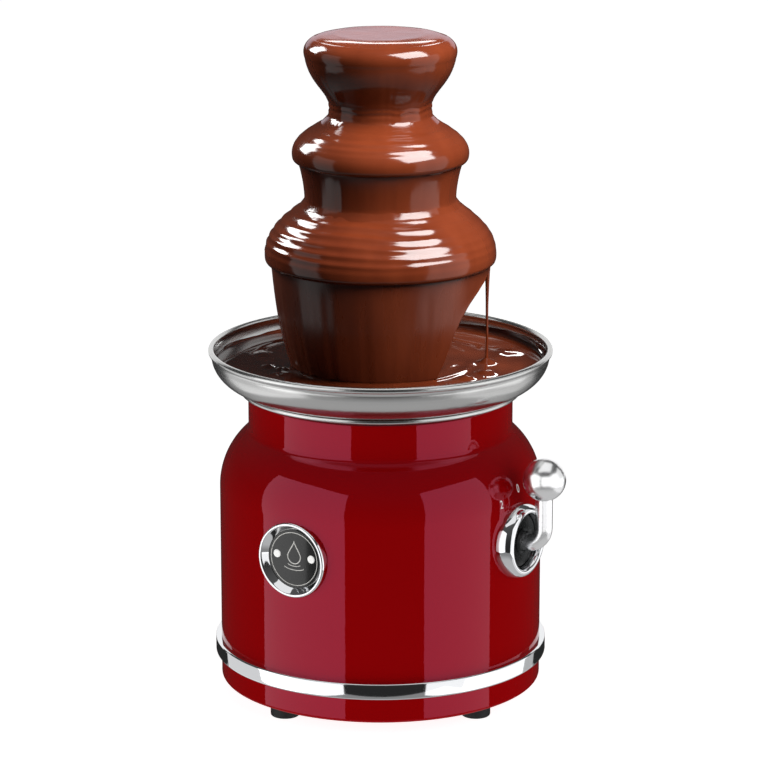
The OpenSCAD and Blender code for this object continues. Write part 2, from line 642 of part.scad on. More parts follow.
module gearbox_case() color([0.25, 0.26, 0.28]) at_z(case_z) difference() {
    linear_extrude(case_h) union() {
        gearbox_plan(case_wall);
        for (p = ears) translate(p) circle(r = screw_r + 2.4);
    }
    at_z(case_wall) linear_extrude(case_h) difference() {
        gearbox_plan(0);
        for (p = ears) translate(p) circle(r = screw_r + 2.4);
    }
    at_z(-1) cylinder(r = shaft_r + bush_t + 0.02, h = 10);
    translate([idler_at[0], idler_at[1], -1]) cylinder(r = pin_r + 0.02, h = 10);
    translate([motor_at[0], motor_at[1], -1]) cylinder(r = pin_r + bush_t + 0.02, h = 10);
    for (p = ears) translate([p[0], p[1], -1]) cylinder(r = screw_r + run_fit, h = case_h + 2);
}
module gearbox_screws() color(STEEL) for (p = ears) translate([p[0], p[1], case_z])
    screw(case_h + bracket_t + 1);
module motor_can() color([0.5, 0.51, 0.53]) translate([motor_at[0], motor_at[1], motor_z]) difference() {
    cylinder(r = motor_r, h = motor_h);
    at_z(can_t) cylinder(r = motor_r - can_t, h = motor_h);
    at_z(-1) cylinder(r = pin_r + bush_t + 0.02, h = 10);
}
module stator() color(COPPER) translate([motor_at[0], motor_at[1], motor_z + stator_end])
    ring(rotor_r + 0.6, motor_r - can_t - 0.02, motor_h - 2 * stator_end);
module motor_bushes() color(BRASS) translate([motor_at[0], motor_at[1], 0]) union() {
    at_z(motor_z) ring(pin_r + run_fit, pin_r + bush_t, 5);
    at_z(case_z - 3) ring(pin_r + run_fit, pin_r + bush_t, case_wall + 3);
}
module rotor() color([0.3, 0.3, 0.32]) translate([motor_at[0], motor_at[1], 0]) union() {
    at_z(motor_z + 0.5) cylinder(r = pin_r, h = layer_1 + wheel_h - motor_z - 0.5);
    at_z(motor_z + rotor_end) cylinder(r = rotor_r, h = motor_h - 2 * rotor_end);
}
module gear_solid(n, h, bore) difference() {
    linear_extrude(h) polygon(gear(n));
    at_z(-1) cylinder(r = bore, h = h + 2);
}
module motor_pinion() color(BRASS) translate([motor_at[0], motor_at[1], layer_1])
    rotate(motor_turn + 180) gear_solid(pinion_n, wheel_h, pin_r + 0.02);
module idler_gear() color(WHITE) translate([idler_at[0], idler_at[1], 0]) difference() {
    union() {
        at_z(layer_1) rotate(motor_turn + 180 / wheel_n) linear_extrude(wheel_h) polygon(gear(wheel_n));
        at_z(layer_1) rotate(idler_turn + 180) linear_extrude(2 * wheel_h + gear_gap) polygon(gear(pinion_n));
        at_z(layer_1 - gear_gap + gap)
            cylinder(r = pin_r + 1.6, h = bracket_z - layer_1 + gear_gap - 2 * gap);
    }
    at_z(case_z) cylinder(r = pin_r + run_fit, h = case_h + 2);
}
module idler_pin() color(STEEL) translate([idler_at[0], idler_at[1], case_z])
    cylinder(r = pin_r, h = case_h + bracket_t);
module output_gear() color(WHITE) difference() {
    union() {
        at_z(layer_2) rotate(idler_turn + 180 / wheel_n) linear_extrude(wheel_h) polygon(gear(wheel_n));
        at_z(layer_2 - gear_gap + gap)
            cylinder(r = shaft_r + 1.2, h = bracket_z - layer_2 + gear_gap - 2 * gap);
    }
    at_z(case_z) cylinder(r = shaft_r + 0.02, h = case_h + 2);
}
module drive_shaft() color(STEEL) union() {
    at_z(case_z + 0.5) cylinder(r = shaft_r, h = auger_z - case_z - 0.5);
    at_z(auger_z) cylinder(r = shaft_r, h = socket_h - 0.5, $fn = 6);
}
module shaft_bushes() color(BRASS) union() {
    at_z(case_z) ring(shaft_r + run_fit, shaft_r + bush_t, case_wall + gear_gap);
    at_z(bracket_z) ring(shaft_r + run_fit, shaft_r + bush_t, bracket_t + 4);
    at_z(bracket_top) ring(shaft_r + run_fit, shaft_r + bush_t + 2, 1.5);
}
module shaft_clip() color(STEEL) at_z(bracket_top + 4 + gap) ring(shaft_r + 0.02, shaft_r + 2.4, 1.2);

// Tower
// Helical flight: one section of four corners for each step along the helix
flight_h = auger_top - auger_z - 4;
flight_steps = ceil(20 * flight_h / auger_pitch);
function flight_at(i) = let (a = 360 * flight_h / auger_pitch * i / flight_steps,
        z = flight_h * i / flight_steps)
    [for (p = [[auger_core_r - 1, 0], [auger_r, 0], [auger_r, flight_t], [auger_core_r - 1, flight_t]])
        [p[0] * cos(a), p[0] * sin(a), z + p[1]]];
module flight() polyhedron(points = [for (i = [0:flight_steps], p = flight_at(i)) p],
    faces = concat([[0, 2, 1], [0, 3, 2]], [for (i = [0:flight_steps - 1], k = [0:3], f = [0, 1])
        let (a = 4 * i + k, b = 4 * i + (k + 1) % 4) f == 0 ? [a, b, a + 4] : [b, b + 4, a + 4]],
        let (e = 4 * flight_steps) [[e, e + 1, e + 2], [e, e + 2, e + 3]]));
module auger() color(WHITE) difference() {
    union() {
        at_z(auger_z) cylinder(r = auger_core_r, h = auger_top - auger_z);
        at_z(auger_z) cylinder(r = auger_core_r + 1, h = socket_h + 4);
        at_z(auger_z + 0.5) flight();
    }
    at_z(auger_z - 1) cylinder(r = shaft_r + 0.1, h = socket_h + 1, $fn = 6);
}
module tower_tube() color(PLASTIC) difference() {
    rotate_extrude() polygon([[tube_bore_r, bowl_floor], [tube_foot_r, bowl_floor],
        [tube_foot_r, bowl_floor + foot_t],
        [tube_r[0], bowl_floor + foot_t], [tube_r[0], lower_seat], [tube_r[1], lower_seat],
        [tube_r[1], middle_seat], [tube_r[2], middle_seat], [tube_r[2], crown_base_z],
        [tube_r[3], crown_base_z], [tube_r[3], tube_top], [tube_bore_r, tube_top]]);
    spread(3, pin_circle_r, 30) at_z(bowl_floor - 1) cylinder(r = tower_pin_r + hole_fit, h = foot_t + 2);
    for (i = [0:2]) rotate(90 + 120 * i) union() {
        translate([0, -6, bowl_floor + foot_t]) cube([tube_foot_r, 12, 9]);
        at_z(bowl_floor + foot_t + 9) rotate([0, 90, 0]) cylinder(r = 6, h = tube_foot_r);
    }
}
// Chocolate on a dome: outward from the curtain that lands on it to the lip
function dome(r, z, r0, h) = [[r0, z + h], [r0 + 0.44 * (r - r0), z + 0.757 * h],
    [r + 0.07 * (r - r0), z + 0.49 * h], [r, z]];
function lip(r, z) = [[r, z], [r - 0.1, z - 0.55 * lip_h], [r - 1.4, z - 0.97 * lip_h], [r - 3.6, z - lip_h]];
middle_land_r = crown_r - 11.5;
lower_land_r = middle_r - 5.1;
lower_curve = dome(lower_r, lower_z, lower_land_r, lower_dome_h);
middle_curve = dome(middle_r, middle_z, middle_land_r, middle_dome_h);
crown_cap = [[24, top_z], [38, top_z + 0.5], [crown_r + 2.8, crown_z + 6.6], [crown_r - 0.2, crown_z - 2.2]];
crown_fall = [[crown_r - 0.2, crown_z - 2.2], [crown_r - 3.1, crown_z - 18.6],
    [crown_r - 17.9, crown_z - 24.3], [middle_land_r - 1.9, middle_z + middle_dome_h + 2.2]];
module tier(curve, r_tube, seat) rotate_extrude() let (n = 12,
        out = inset(bez(curve, n), coat_t), back = inset(bez(curve, n), coat_t + tier_t),
        hub = r_tube + hole_fit)
    polygon(concat([[hub, seat], [hub + hub_t, seat], [hub + hub_t, back[0][1] + 1]], back,
        rev(out), [[hub + hub_t, out[0][1] + 2], [hub, out[0][1] + 4]]));
module lower_tier() color(PLASTIC) tier(lower_curve, tube_r[1], lower_seat);
module middle_tier() color(PLASTIC) tier(middle_curve, tube_r[2], middle_seat);
crown_wall = inset(bez(crown_fall, 8, 0, 0.5), 2 + gap);
module crown() color(PLASTIC) rotate_extrude() let (out = crown_wall, back = inset(out, tier_t),
        hub = tube_r[3] + hole_fit, rim = crown_z + 3)
    polygon(concat([[hub, crown_base_z], [hub + hub_t + 3, crown_base_z]], rev(out),
        [[out[0][0], rim], [out[0][0] - tier_t, rim]],
        back, [[hub + hub_t, crown_base_z + 4], [hub + hub_t, tube_top - 3], [hub, tube_top - 3]]));

// Chocolate
module coat(curve, r, z) rotate_extrude() let (n = 12, top = bez(curve, n), under = inset(top, coat_t - gap))
    polygon(concat([[top[0][0] - crest_w, top[0][1] + crest_h]], top, bez(lip(r, z), 5), rev(under),
        [[top[0][0] - crest_w, under[0][1] + 1]]));
module curtain(path) rotate_extrude() polygon(concat(path, rev(inset(path, curtain_t))));
module chocolate_lower_coat() color(CHOCOLATE) coat(lower_curve, lower_r, lower_z);
module chocolate_middle_coat() color(CHOCOLATE) coat(middle_curve, middle_r, middle_z);
module chocolate_middle_curtain() color(CHOCOLATE) let (r = middle_r - 3.6, z = middle_z - lip_h - gap,
        land = lower_z + lower_dome_h + crest_h + gap)
    curtain(bez([[r, z], [r - 2.4, z - 9], [lower_land_r - 2, land + 8], [lower_land_r - 2, land]], 8));
lower_curtain_top = lower_z - lip_h - gap;
curtain_land_r = lower_r - 14.6;
// The tear, seen from outside: as narrow as the strand under the lip, then sweeping out
function sweep(w) = bez([[(strand_r + 1) * sign(w), lower_curtain_top + 1], [w * 0.3, lower_curtain_top - 9],
    [w * 0.96, lower_curtain_top - 7], [w, pool_z + 20]], 8);
module tear() polygon(concat(sweep(tear_back_w), [[tear_back_w, pool_z - 2], [-tear_front_w, pool_z - 2]],
    rev(sweep(-tear_front_w))));
module chocolate_lower_curtain() color(CHOCOLATE) difference() {
    let (r = lower_r - 3.6, z = lower_curtain_top) curtain(bez([[r, z], [r - 1.9, z - 15],
        [r - 2.7, pool_z + 24], [curtain_land_r, pool_z + gap]], 12));
    rotate(tear_turn) rotate([90, 0, 90]) linear_extrude(lower_r + 10) tear();
}
module chocolate_strand() color(CHOCOLATE) rotate(tear_turn) translate([lower_r - 5.4, 0, pool_z + gap])
    cylinder(r1 = strand_r * 0.45, r2 = strand_r, h = lower_curtain_top - pool_z - gap);
// The pool closes round the tube, over its foot and the pins
module chocolate_pool() color(CHOCOLATE) rotate_extrude() intersection() {
    difference() {
        translate([tube_r[0] + gap, bowl_z]) square([bowl_r, pool_z - bowl_z]);
        square([tube_foot_r + gap, bowl_floor + tower_pin_h + tower_pin_r + gap]);
    }
    polygon(concat([[0, bowl_floor + gap], [bowl_foot_r - 1, bowl_floor + gap]],
        inset(bez(bowl_curve, 12), -bowl_t - gap), [[0, rim_z]]));
}
module chocolate_crown() color(CHOCOLATE) rotate_extrude() let (fall = bez(crown_fall, 14), wall = crown_wall,
        rim = crown_z + 3, inner = inset(crown_wall, tier_t + gap))
    polygon(concat([[0, top_z + 0.2]], bez(crown_cap, 10), fall, rev(inset(fall, 2)),
        [[wall[0][0] + gap, rim + gap], [wall[0][0] - tier_t - gap, rim + gap]],
        inner, [[tube_r[3] + hub_t + 2, crown_base_z + 12], [tube_r[3] + hub_t + 2, tube_top + gap],
        [tube_r[3], tube_top + 3], [0, tube_top + 3]]));

base_pan();
feet();
base_screws();
housing_shell();
trim_band();
cord_gland();
terminal_block();
badge_bezel();
badge_face();
heat_lamp();
flow_lamp();
lamp_board();
badge_clip();
lever_escutcheon();
lever_disc();
lever_arm();
lever_ball();
lever_spindle();
rotary_switch();
switch_nut();
switch_bracket();
bowl();
bowl_gasket();
bowl_studs();
shaft_seal();
tower_pins();
heater_plate();
heating_element();
thermostat();
thermal_fuse();
standoffs();
motor_bracket();
bracket_screws();
gearbox_case();
gearbox_screws();
motor_can();
stator();
motor_bushes();
rotor();
motor_pinion();
idler_gear();
idler_pin();
output_gear();
drive_shaft();
shaft_bushes();
shaft_clip();
auger();
tower_tube();
lower_tier();
middle_tier();
crown();
chocolate_pool();
chocolate_lower_coat();
chocolate_lower_curtain();
chocolate_strand();
chocolate_middle_coat();
chocolate_middle_curtain();
chocolate_crown();
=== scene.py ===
"""Looks of a three-tier chocolate fountain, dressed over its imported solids."""

import json
from math import asin, atan2, copysign, cos, degrees, exp, hypot, pi, radians, sin, sqrt

import bmesh
import bpy
from bpy.props import FloatProperty, FloatVectorProperty, PointerProperty
from mathutils import Matrix, Vector, noise

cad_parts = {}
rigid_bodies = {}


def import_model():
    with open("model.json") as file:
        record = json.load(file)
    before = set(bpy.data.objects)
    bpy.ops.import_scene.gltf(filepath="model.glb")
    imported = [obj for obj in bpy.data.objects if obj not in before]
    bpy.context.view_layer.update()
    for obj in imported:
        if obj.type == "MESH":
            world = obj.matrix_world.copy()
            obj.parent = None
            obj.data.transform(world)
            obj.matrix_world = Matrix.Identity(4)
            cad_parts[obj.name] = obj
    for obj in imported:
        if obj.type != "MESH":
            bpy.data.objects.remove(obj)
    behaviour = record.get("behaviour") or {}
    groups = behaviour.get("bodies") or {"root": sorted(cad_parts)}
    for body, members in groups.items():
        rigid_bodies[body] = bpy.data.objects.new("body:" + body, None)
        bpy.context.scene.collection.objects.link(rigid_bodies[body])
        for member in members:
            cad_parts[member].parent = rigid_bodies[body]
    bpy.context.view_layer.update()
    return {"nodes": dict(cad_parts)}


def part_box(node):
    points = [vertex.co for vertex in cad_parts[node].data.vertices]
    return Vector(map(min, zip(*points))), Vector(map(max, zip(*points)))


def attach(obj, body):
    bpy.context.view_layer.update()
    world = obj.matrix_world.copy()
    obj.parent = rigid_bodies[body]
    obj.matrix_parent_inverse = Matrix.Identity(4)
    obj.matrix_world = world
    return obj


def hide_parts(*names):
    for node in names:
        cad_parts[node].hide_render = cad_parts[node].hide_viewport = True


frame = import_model()

bl_info = {
    "name": "Chocolate Fountain",
    "version": (1, 0, 0),
    "blender": (4, 5, 0),
    "location": "3D View > Sidebar > Fountain",
    "description": "Dresses the solids of a chocolate fountain and sets them in a studio",
    "category": "Object",
}

MM = 0.001


def low(node):
    """Lowest corner of a solid, in millimetres."""
    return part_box(node)[0] / MM


def high(node):
    """Highest corner of a solid, in millimetres."""
    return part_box(node)[1] / MM


# Sizes that no box of a solid shows, in millimetres
DECK_R = 58
BADGE_HOLE_R, DIAL_HOLE_R, GLAND_HOLE_R = 18.4, 17.2, 7.2
BOWL_HOLE_R, BOWL_FOOT_R, TUBE_R = 8.2, 80.5, 19.6
FEET_R, FEET_TURN = 78, radians(-13)
LIP, COAT = 3.6, 2.7
LOWER_TALL, MIDDLE_TALL, CROWN_TALL = 30.6, 20.8, 11.8
LOWER_LONG, MIDDLE_LONG = 42.0, 30.0
PRINT_LIFT = 0.06

# Places read from the solids, in millimetres
BODY_R, PAN_Z = high("base_pan").x, low("base_pan").z
BAND_LOW, BAND_HIGH, BAND_R = low("trim_band").z, high("trim_band").z, high("trim_band").x
NECK_TOP = high("housing_shell").z
GLAND_Z = (low("cord_gland").z + high("cord_gland").z) / 2
BOWL_Z, RIM_Z, BOWL_R = low("bowl").z, high("bowl").z, high("bowl").x
POOL_Z, PIN_TOP = high("chocolate_pool").z, high("tower_pins").z
LOWER_LIP, MIDDLE_LIP = low("chocolate_lower_coat").z, low("chocolate_middle_coat").z
LOWER_Z, MIDDLE_Z = LOWER_LIP + LIP, MIDDLE_LIP + LIP
CROWN_Z = high("chocolate_crown").z - CROWN_TALL
BADGE_Z = (low("badge_face").z + high("badge_face").z) / 2
FACE_Y, BADGE_Y, BADGE_R = low("badge_face").y, low("badge_bezel").y, high("badge_bezel").x
DIAL_Z = (low("lever_disc").z + high("lever_disc").z) / 2
DIAL_X, DIAL_R = high("lever_escutcheon").x, high("lever_escutcheon").y

# Steps in a full turn of a large piece and of a ring
ROUND, RING = 224, 128


class BodySizes(bpy.types.PropertyGroup):
    """Sizes and colour of the red housing and its chrome band"""

    red: FloatVectorProperty(
        name="Red", description="Colour of the gloss paint",
        subtype="COLOR", size=3, min=0, max=1, default=(0.365, 0.0008, 0.0016))
    shoulder: FloatProperty(
        name="Shoulder", description="Radius of the shoulder's arc", unit="LENGTH", default=43 * MM)
    neck: FloatProperty(
        name="Neck", description="Radius of the neck under the bowl", unit="LENGTH", default=77 * MM)
    neck_height: FloatProperty(
        name="Neck height", description="Height of the neck above the shoulder",
        unit="LENGTH", default=21 * MM)
    neck_fillet: FloatProperty(
        name="Neck fillet", description="Radius of the fillet between shoulder and neck",
        unit="LENGTH", default=4 * MM)
    wall: FloatProperty(name="Wall", description="Thickness of the housing", unit="LENGTH", default=2.5 * MM)
    band_edge: FloatProperty(
        name="Band edge", description="Radius of the chrome band's edges", unit="LENGTH", default=1.1 * MM)


class BowlSizes(bpy.types.PropertyGroup):
    """Sizes and colour of the steel bowl"""

    steel: FloatVectorProperty(
        name="Steel", description="Colour of the polished steel",
        subtype="COLOR", size=3, min=0, max=1, default=(0.60, 0.60, 0.595))
    rim: FloatProperty(name="Rim", description="Radius of the rolled rim", unit="LENGTH", default=1.7 * MM)
    bead: FloatProperty(
        name="Bead", description="Radius of the bead round the foot", unit="LENGTH", default=1.6 * MM)
    sheet: FloatProperty(name="Sheet", description="Thickness of the steel", unit="LENGTH", default=1.0 * MM)


class ControlSizes(bpy.types.PropertyGroup):
    """Sizes and colour of the badge, the dial and their prints"""

    chrome: FloatVectorProperty(
        name="Chrome", description="Colour of the chrome",
        subtype="COLOR", size=3, min=0, max=1, default=(0.83, 0.84, 0.86))
    ring: FloatProperty(
        name="Ring line", description="Radius of the thin line printed round the badge",
        unit="LENGTH", default=15.7 * MM)
    motif: FloatProperty(
        name="Motif", description="Height of the drop printed on the badge", unit="LENGTH", default=14 * MM)
    numeral: FloatProperty(
        name="Numeral", description="Height of the dial's numbers", unit="LENGTH", default=5.0 * MM)
    numeral_reach: FloatProperty(
        name="Numeral reach", description="Distance of the numbers from the dial's axis",
        unit="LENGTH", default=30.5 * MM)
    numeral_turn: FloatProperty(
        name="Numeral turn", description="Angle between two numbers of the dial",
        subtype="ANGLE", default=radians(35))


class ChocolateSizes(bpy.types.PropertyGroup):
    """Sizes and colours of the flowing chocolate"""

    brown: FloatVectorProperty(
        name="Brown", description="Colour of the chocolate where it runs thin",
        subtype="COLOR", size=3, min=0, max=1, default=(0.135, 0.0255, 0.0085))
    dark: FloatVectorProperty(
        name="Dark", description="Colour of the chocolate where it lies deep",
        subtype="COLOR", size=3, min=0, max=1, default=(0.078, 0.0130, 0.0042))
    lower: FloatProperty(
        name="Lower tier", description="Radius of the lower dome", unit="LENGTH", default=66.8 * MM)
    middle: FloatProperty(
        name="Middle tier", description="Radius of the middle dome", unit="LENGTH", default=50.8 * MM)
    crown: FloatProperty(name="Crown", description="Radius of the crown", unit="LENGTH", default=43.4 * MM)
    ripple: FloatProperty(
        name="Ripple", description="Height of the ripples on the lower dome",
        unit="LENGTH", default=0.42 * MM)
    spacing: FloatProperty(
        name="Ripple spacing", description="Distance from ripple to ripple", unit="LENGTH", default=6.2 * MM)
    wave: FloatProperty(
        name="Wave", description="Height of the waves in the pool", unit="LENGTH", default=0.8 * MM)
    sheet: FloatProperty(
        name="Curtain", description="Thickness of a falling curtain", unit="LENGTH", default=1.2 * MM)
    tear: FloatProperty(
        name="Tear", description="Direction of the tear in the lower curtain",
        subtype="ANGLE", default=radians(29))


class StudioSizes(bpy.types.PropertyGroup):
    """Camera and lights of the studio"""

    turn: FloatProperty(
        name="Camera turn", description="Direction of the camera, right of the badge",
        subtype="ANGLE", default=radians(32))
    rise: FloatProperty(
        name="Camera rise", description="Height of the camera as an angle above the table",
        subtype="ANGLE", default=radians(14.51))
    distance: FloatProperty(
        name="Camera distance", description="Distance of the camera", unit="LENGTH", default=2.0367)
    aim: FloatProperty(
        name="Camera aim", description="Height that the camera looks at", unit="LENGTH", default=0.18366)
    lens: FloatProperty(name="Lens", description="Focal length in millimetres", default=164.06)
    softbox: FloatProperty(name="Softbox", description="Brightness of the large softboxes", default=1.2)
    top: FloatProperty(name="Top light", description="Brightness of the light above", default=2.6)
    back: FloatProperty(
        name="Back light", description="Brightness of the panel behind the crown", default=0.8)
    sparkle: FloatProperty(name="Sparkle", description="Brightness of the small lamps", default=24.0)


GROUPS = {"fountain_body": BodySizes, "fountain_bowl": BowlSizes, "fountain_control": ControlSizes,
          "fountain_chocolate": ChocolateSizes, "fountain_studio": StudioSizes}


# Shader maths

def feed(tree, socket, value):
    """Links a wire to a socket, or sets the socket's own value."""
    if isinstance(value, Wire):
        tree.links.new(value.socket, socket)
    elif hasattr(socket.default_value, "__len__") and len(socket.default_value) == 4 and len(value) == 3:
        socket.default_value = (*value, 1.0)
    else:
        socket.default_value = value


class Wire:
    """An output socket whose maths is written as Python expressions."""

    def __init__(self, tree, socket):
        self.tree, self.socket = tree, socket

    def maths(self, operation, *terms):
        """A Math node on these terms."""
        node = self.tree.nodes.new("ShaderNodeMath")
        node.operation = operation
        for socket, term in zip(node.inputs, terms):
            feed(self.tree, socket, term)
        return Wire(self.tree, node.outputs[0])

    def __add__(self, other):
        return self.maths("ADD", self, other)

    def __mul__(self, other):
        return self.maths("MULTIPLY", self, other)

    def __pow__(self, other):
        return self.maths("POWER", self, other)

    __radd__ = __add__
    __rmul__ = __mul__


class Nodes:
    """The node tree of a material or a world, emptied."""

    def __init__(self, owner):
        owner.use_nodes = True
        self.tree = owner.node_tree
        self.tree.nodes.clear()

    def add(self, kind, settings=None, sockets=None, out=0):
        """Adds a node: its settings first, then the values or links of its sockets."""
        node = self.tree.nodes.new(kind)
        for name, value in (settings or {}).items():
            if name == "stops":
                ramp = node.color_ramp.elements
                while len(ramp) < len(value):
                    ramp.new(1.0)
                for element, (place, level) in zip(ramp, value):
                    element.position, element.color = place, (level, level, level, 1.0)
            else:
                setattr(node, name, value)
        for name, value in (sockets or {}).items():
            feed(self.tree, node.inputs[name], value)
        return Wire(self.tree, node.outputs[out]) if node.outputs else None

    def steps(self, value, stops):
        """A ramp of grey stops over a value."""
        return self.add("ShaderNodeValToRGB", {"stops": stops}, {"Fac": value})


class Finish(Nodes):
    """One procedural material, with its surface shader."""

    def __init__(self, name):
        self.material = bpy.data.materials.new(name)
        super().__init__(self.material)
        shader = self.add("ShaderNodeBsdfPrincipled")
        self.shader = shader.socket.node
        self.add("ShaderNodeOutputMaterial", None, {"Surface": shader})
        self.point = self.add("ShaderNodeTexCoord", out="Object")

    def noise(self, place, scale, detail):
        """Noise from 0 to 1 at a place."""
        sockets = {"Vector": place, "Scale": scale, "Detail": detail}
        return self.add("ShaderNodeTexNoise", None, sockets, out="Fac")

    def grain(self, scale, detail, stretch=(1, 1, 1)):
        """Noise at a scale per metre, stretched along the axes."""
        place = self.add("ShaderNodeMapping", None, {"Vector": self.point, "Scale": stretch})
        return self.noise(place, scale, detail)

    def turned(self, scale, detail):
        """Noise in rings round the axis of the fountain, as a lathe leaves it."""
        x, y, z = (self.add("ShaderNodeSeparateXYZ", None, {"Vector": self.point}, out=i) for i in range(3))
        radius = (x * x + y * y) ** 0.5
        place = self.add("ShaderNodeCombineXYZ", None, {"X": radius, "Y": 0.0, "Z": z})
        return self.noise(place, scale, detail)

    def mix(self, mask, first, second):
        """One colour where the mask is 0 and another where it is 1."""
        return self.add("ShaderNodeMix", {"data_type": "RGBA"}, {0: mask, 6: first, 7: second}, out=2)

    def bump(self, height, strength, distance):
        """A Normal from a height."""
        sockets = {"Height": height, "Strength": strength, "Distance": distance}
        return self.add("ShaderNodeBump", None, sockets)

    def surface(self, **sockets):
        """Sets the shader's sockets by name, with _ for a space, and returns the material."""
        for name, value in sockets.items():
            feed(self.tree, self.shader.inputs[name.replace("_", " ")], value)
        return self.material


# Finishes

def shade(colour, share):
    """A colour made darker or lighter by a share."""
    return tuple(min(1.0, c * share) for c in colour)


def paint_finish(name, red):
    f = Finish(name)
    peel, drift = f.grain(520, 1), f.grain(9, 2)
    return f.surface(Base_Color=f.mix(drift, shade(red, 0.94), shade(red, 1.06)),
                     Roughness=0.02 + peel * 0.02, Specular_IOR_Level=0.9,
                     Specular_Tint=(1.0, 0.22, 0.42), Normal=f.bump(peel, 0.03, 0.0002))


def mirror_finish(name, colour, rough=0.03):
    f = Finish(name)
    smear, dust = f.grain(30, 3), f.grain(420, 2)
    return f.surface(Base_Color=f.mix(smear, shade(colour, 0.97), colour), Metallic=1.0,
                     Roughness=rough + smear * 0.035 + dust * 0.012)


def spun_finish(name, colour):
    f = Finish(name)
    lines, cloud = f.turned(1900, 3), f.grain(26, 2)
    return f.surface(Base_Color=f.mix(lines, shade(colour, 0.93), shade(colour, 1.04)), Metallic=1.0,
                     Roughness=0.15 + lines * 0.10 + cloud * 0.05, Normal=f.bump(lines, 0.05, 0.0001))


def metal_finish(name, colour, rough, scratch=(1, 1, 12), tint=0.82):
    f = Finish(name)
    lines, cloud = f.grain(260, 3, scratch), f.grain(60, 3)
    return f.surface(Base_Color=f.mix(cloud, shade(colour, tint), colour), Metallic=1.0,
                     Roughness=rough + lines * 0.14, Normal=f.bump(lines, 0.10, 0.0001))


def moulded_finish(name, colour, rough, grain, depth, gloss=0.5):
    f = Finish(name)
    spark, cloud = f.grain(grain, 2), f.grain(35, 2)
    return f.surface(Base_Color=f.mix(cloud, shade(colour, 0.9), colour), Roughness=rough + spark * 0.12,
                     Specular_IOR_Level=gloss, Normal=f.bump(spark, depth, 0.0002))


def glass_black_finish(name, colour):
    f = Finish(name)
    smear = f.grain(70, 2)
    return f.surface(Base_Color=f.mix(smear, colour, shade(colour, 1.5)), Roughness=0.05 + smear * 0.04,
                     Coat_Weight=1.0, Coat_Roughness=0.02)


def lens_finish(name, colour):
    f = Finish(name)
    frost, facets = f.grain(500, 1), f.turned(1500, 0)
    return f.surface(Base_Color=f.mix(frost, shade(colour, 0.94), colour), Roughness=0.14 + frost * 0.08,
                     Coat_Weight=0.6, Emission_Color=(1.0, 0.99, 0.97), Emission_Strength=0.35,
                     Normal=f.bump(facets, 0.08, 0.0002))


def board_finish(name, colour):
    f = Finish(name)
    tracks = f.steps(f.grain(420, 0, (1, 1, 0.15)), [(0.49, 0.0), (0.53, 1.0)])
    return f.surface(Base_Color=f.mix(tracks, colour, (0.45, 0.30, 0.10)), Roughness=0.35 + tracks * 0.1,
                     Metallic=tracks * 0.6)


def winding_finish(name, colour):
    f = Finish(name)
    sockets = {"Vector": f.point, "Scale": 260.0, "Distortion": 1.5}
    # The wire's turns in stripes, darker in the grooves between them as painted shade
    turns_and_groove_shade = f.add("ShaderNodeTexWave", {"bands_direction": "Z"}, sockets, out="Fac")
    return f.surface(Base_Color=f.mix(turns_and_groove_shade, shade(colour, 0.45), colour), Metallic=0.9,
                     Roughness=0.30 + turns_and_groove_shade * 0.1, Normal=f.bump(turns_and_groove_shade, 0.4, 0.0004))


def chocolate_finish(name, brown, dark, rough):
    f = Finish(name)
    drift = f.grain(28, 3, (1, 1, 0.35))
    silk = f.grain(150, 2, (1, 1, 0.2))
    return f.surface(Base_Color=f.mix(f.steps(drift, [(0.3, 0.0), (0.7, 1.0)]), dark, brown),
                     Roughness=rough * (1 + silk * 0.8), IOR=1.45, Normal=f.bump(silk, 0.04, 0.0003))


# The prints glow as painted light: the ink is no lamp, and its emission makes it brighter than the lamps make
# it
def print_finish(name, colour, painted_glow):
    f = Finish(name)
    ink = f.grain(1200, 2)
    return f.surface(Base_Color=f.mix(ink, shade(colour, 0.9), colour), Roughness=0.3 + ink * 0.1,
                     Emission_Color=colour, Emission_Strength=painted_glow)


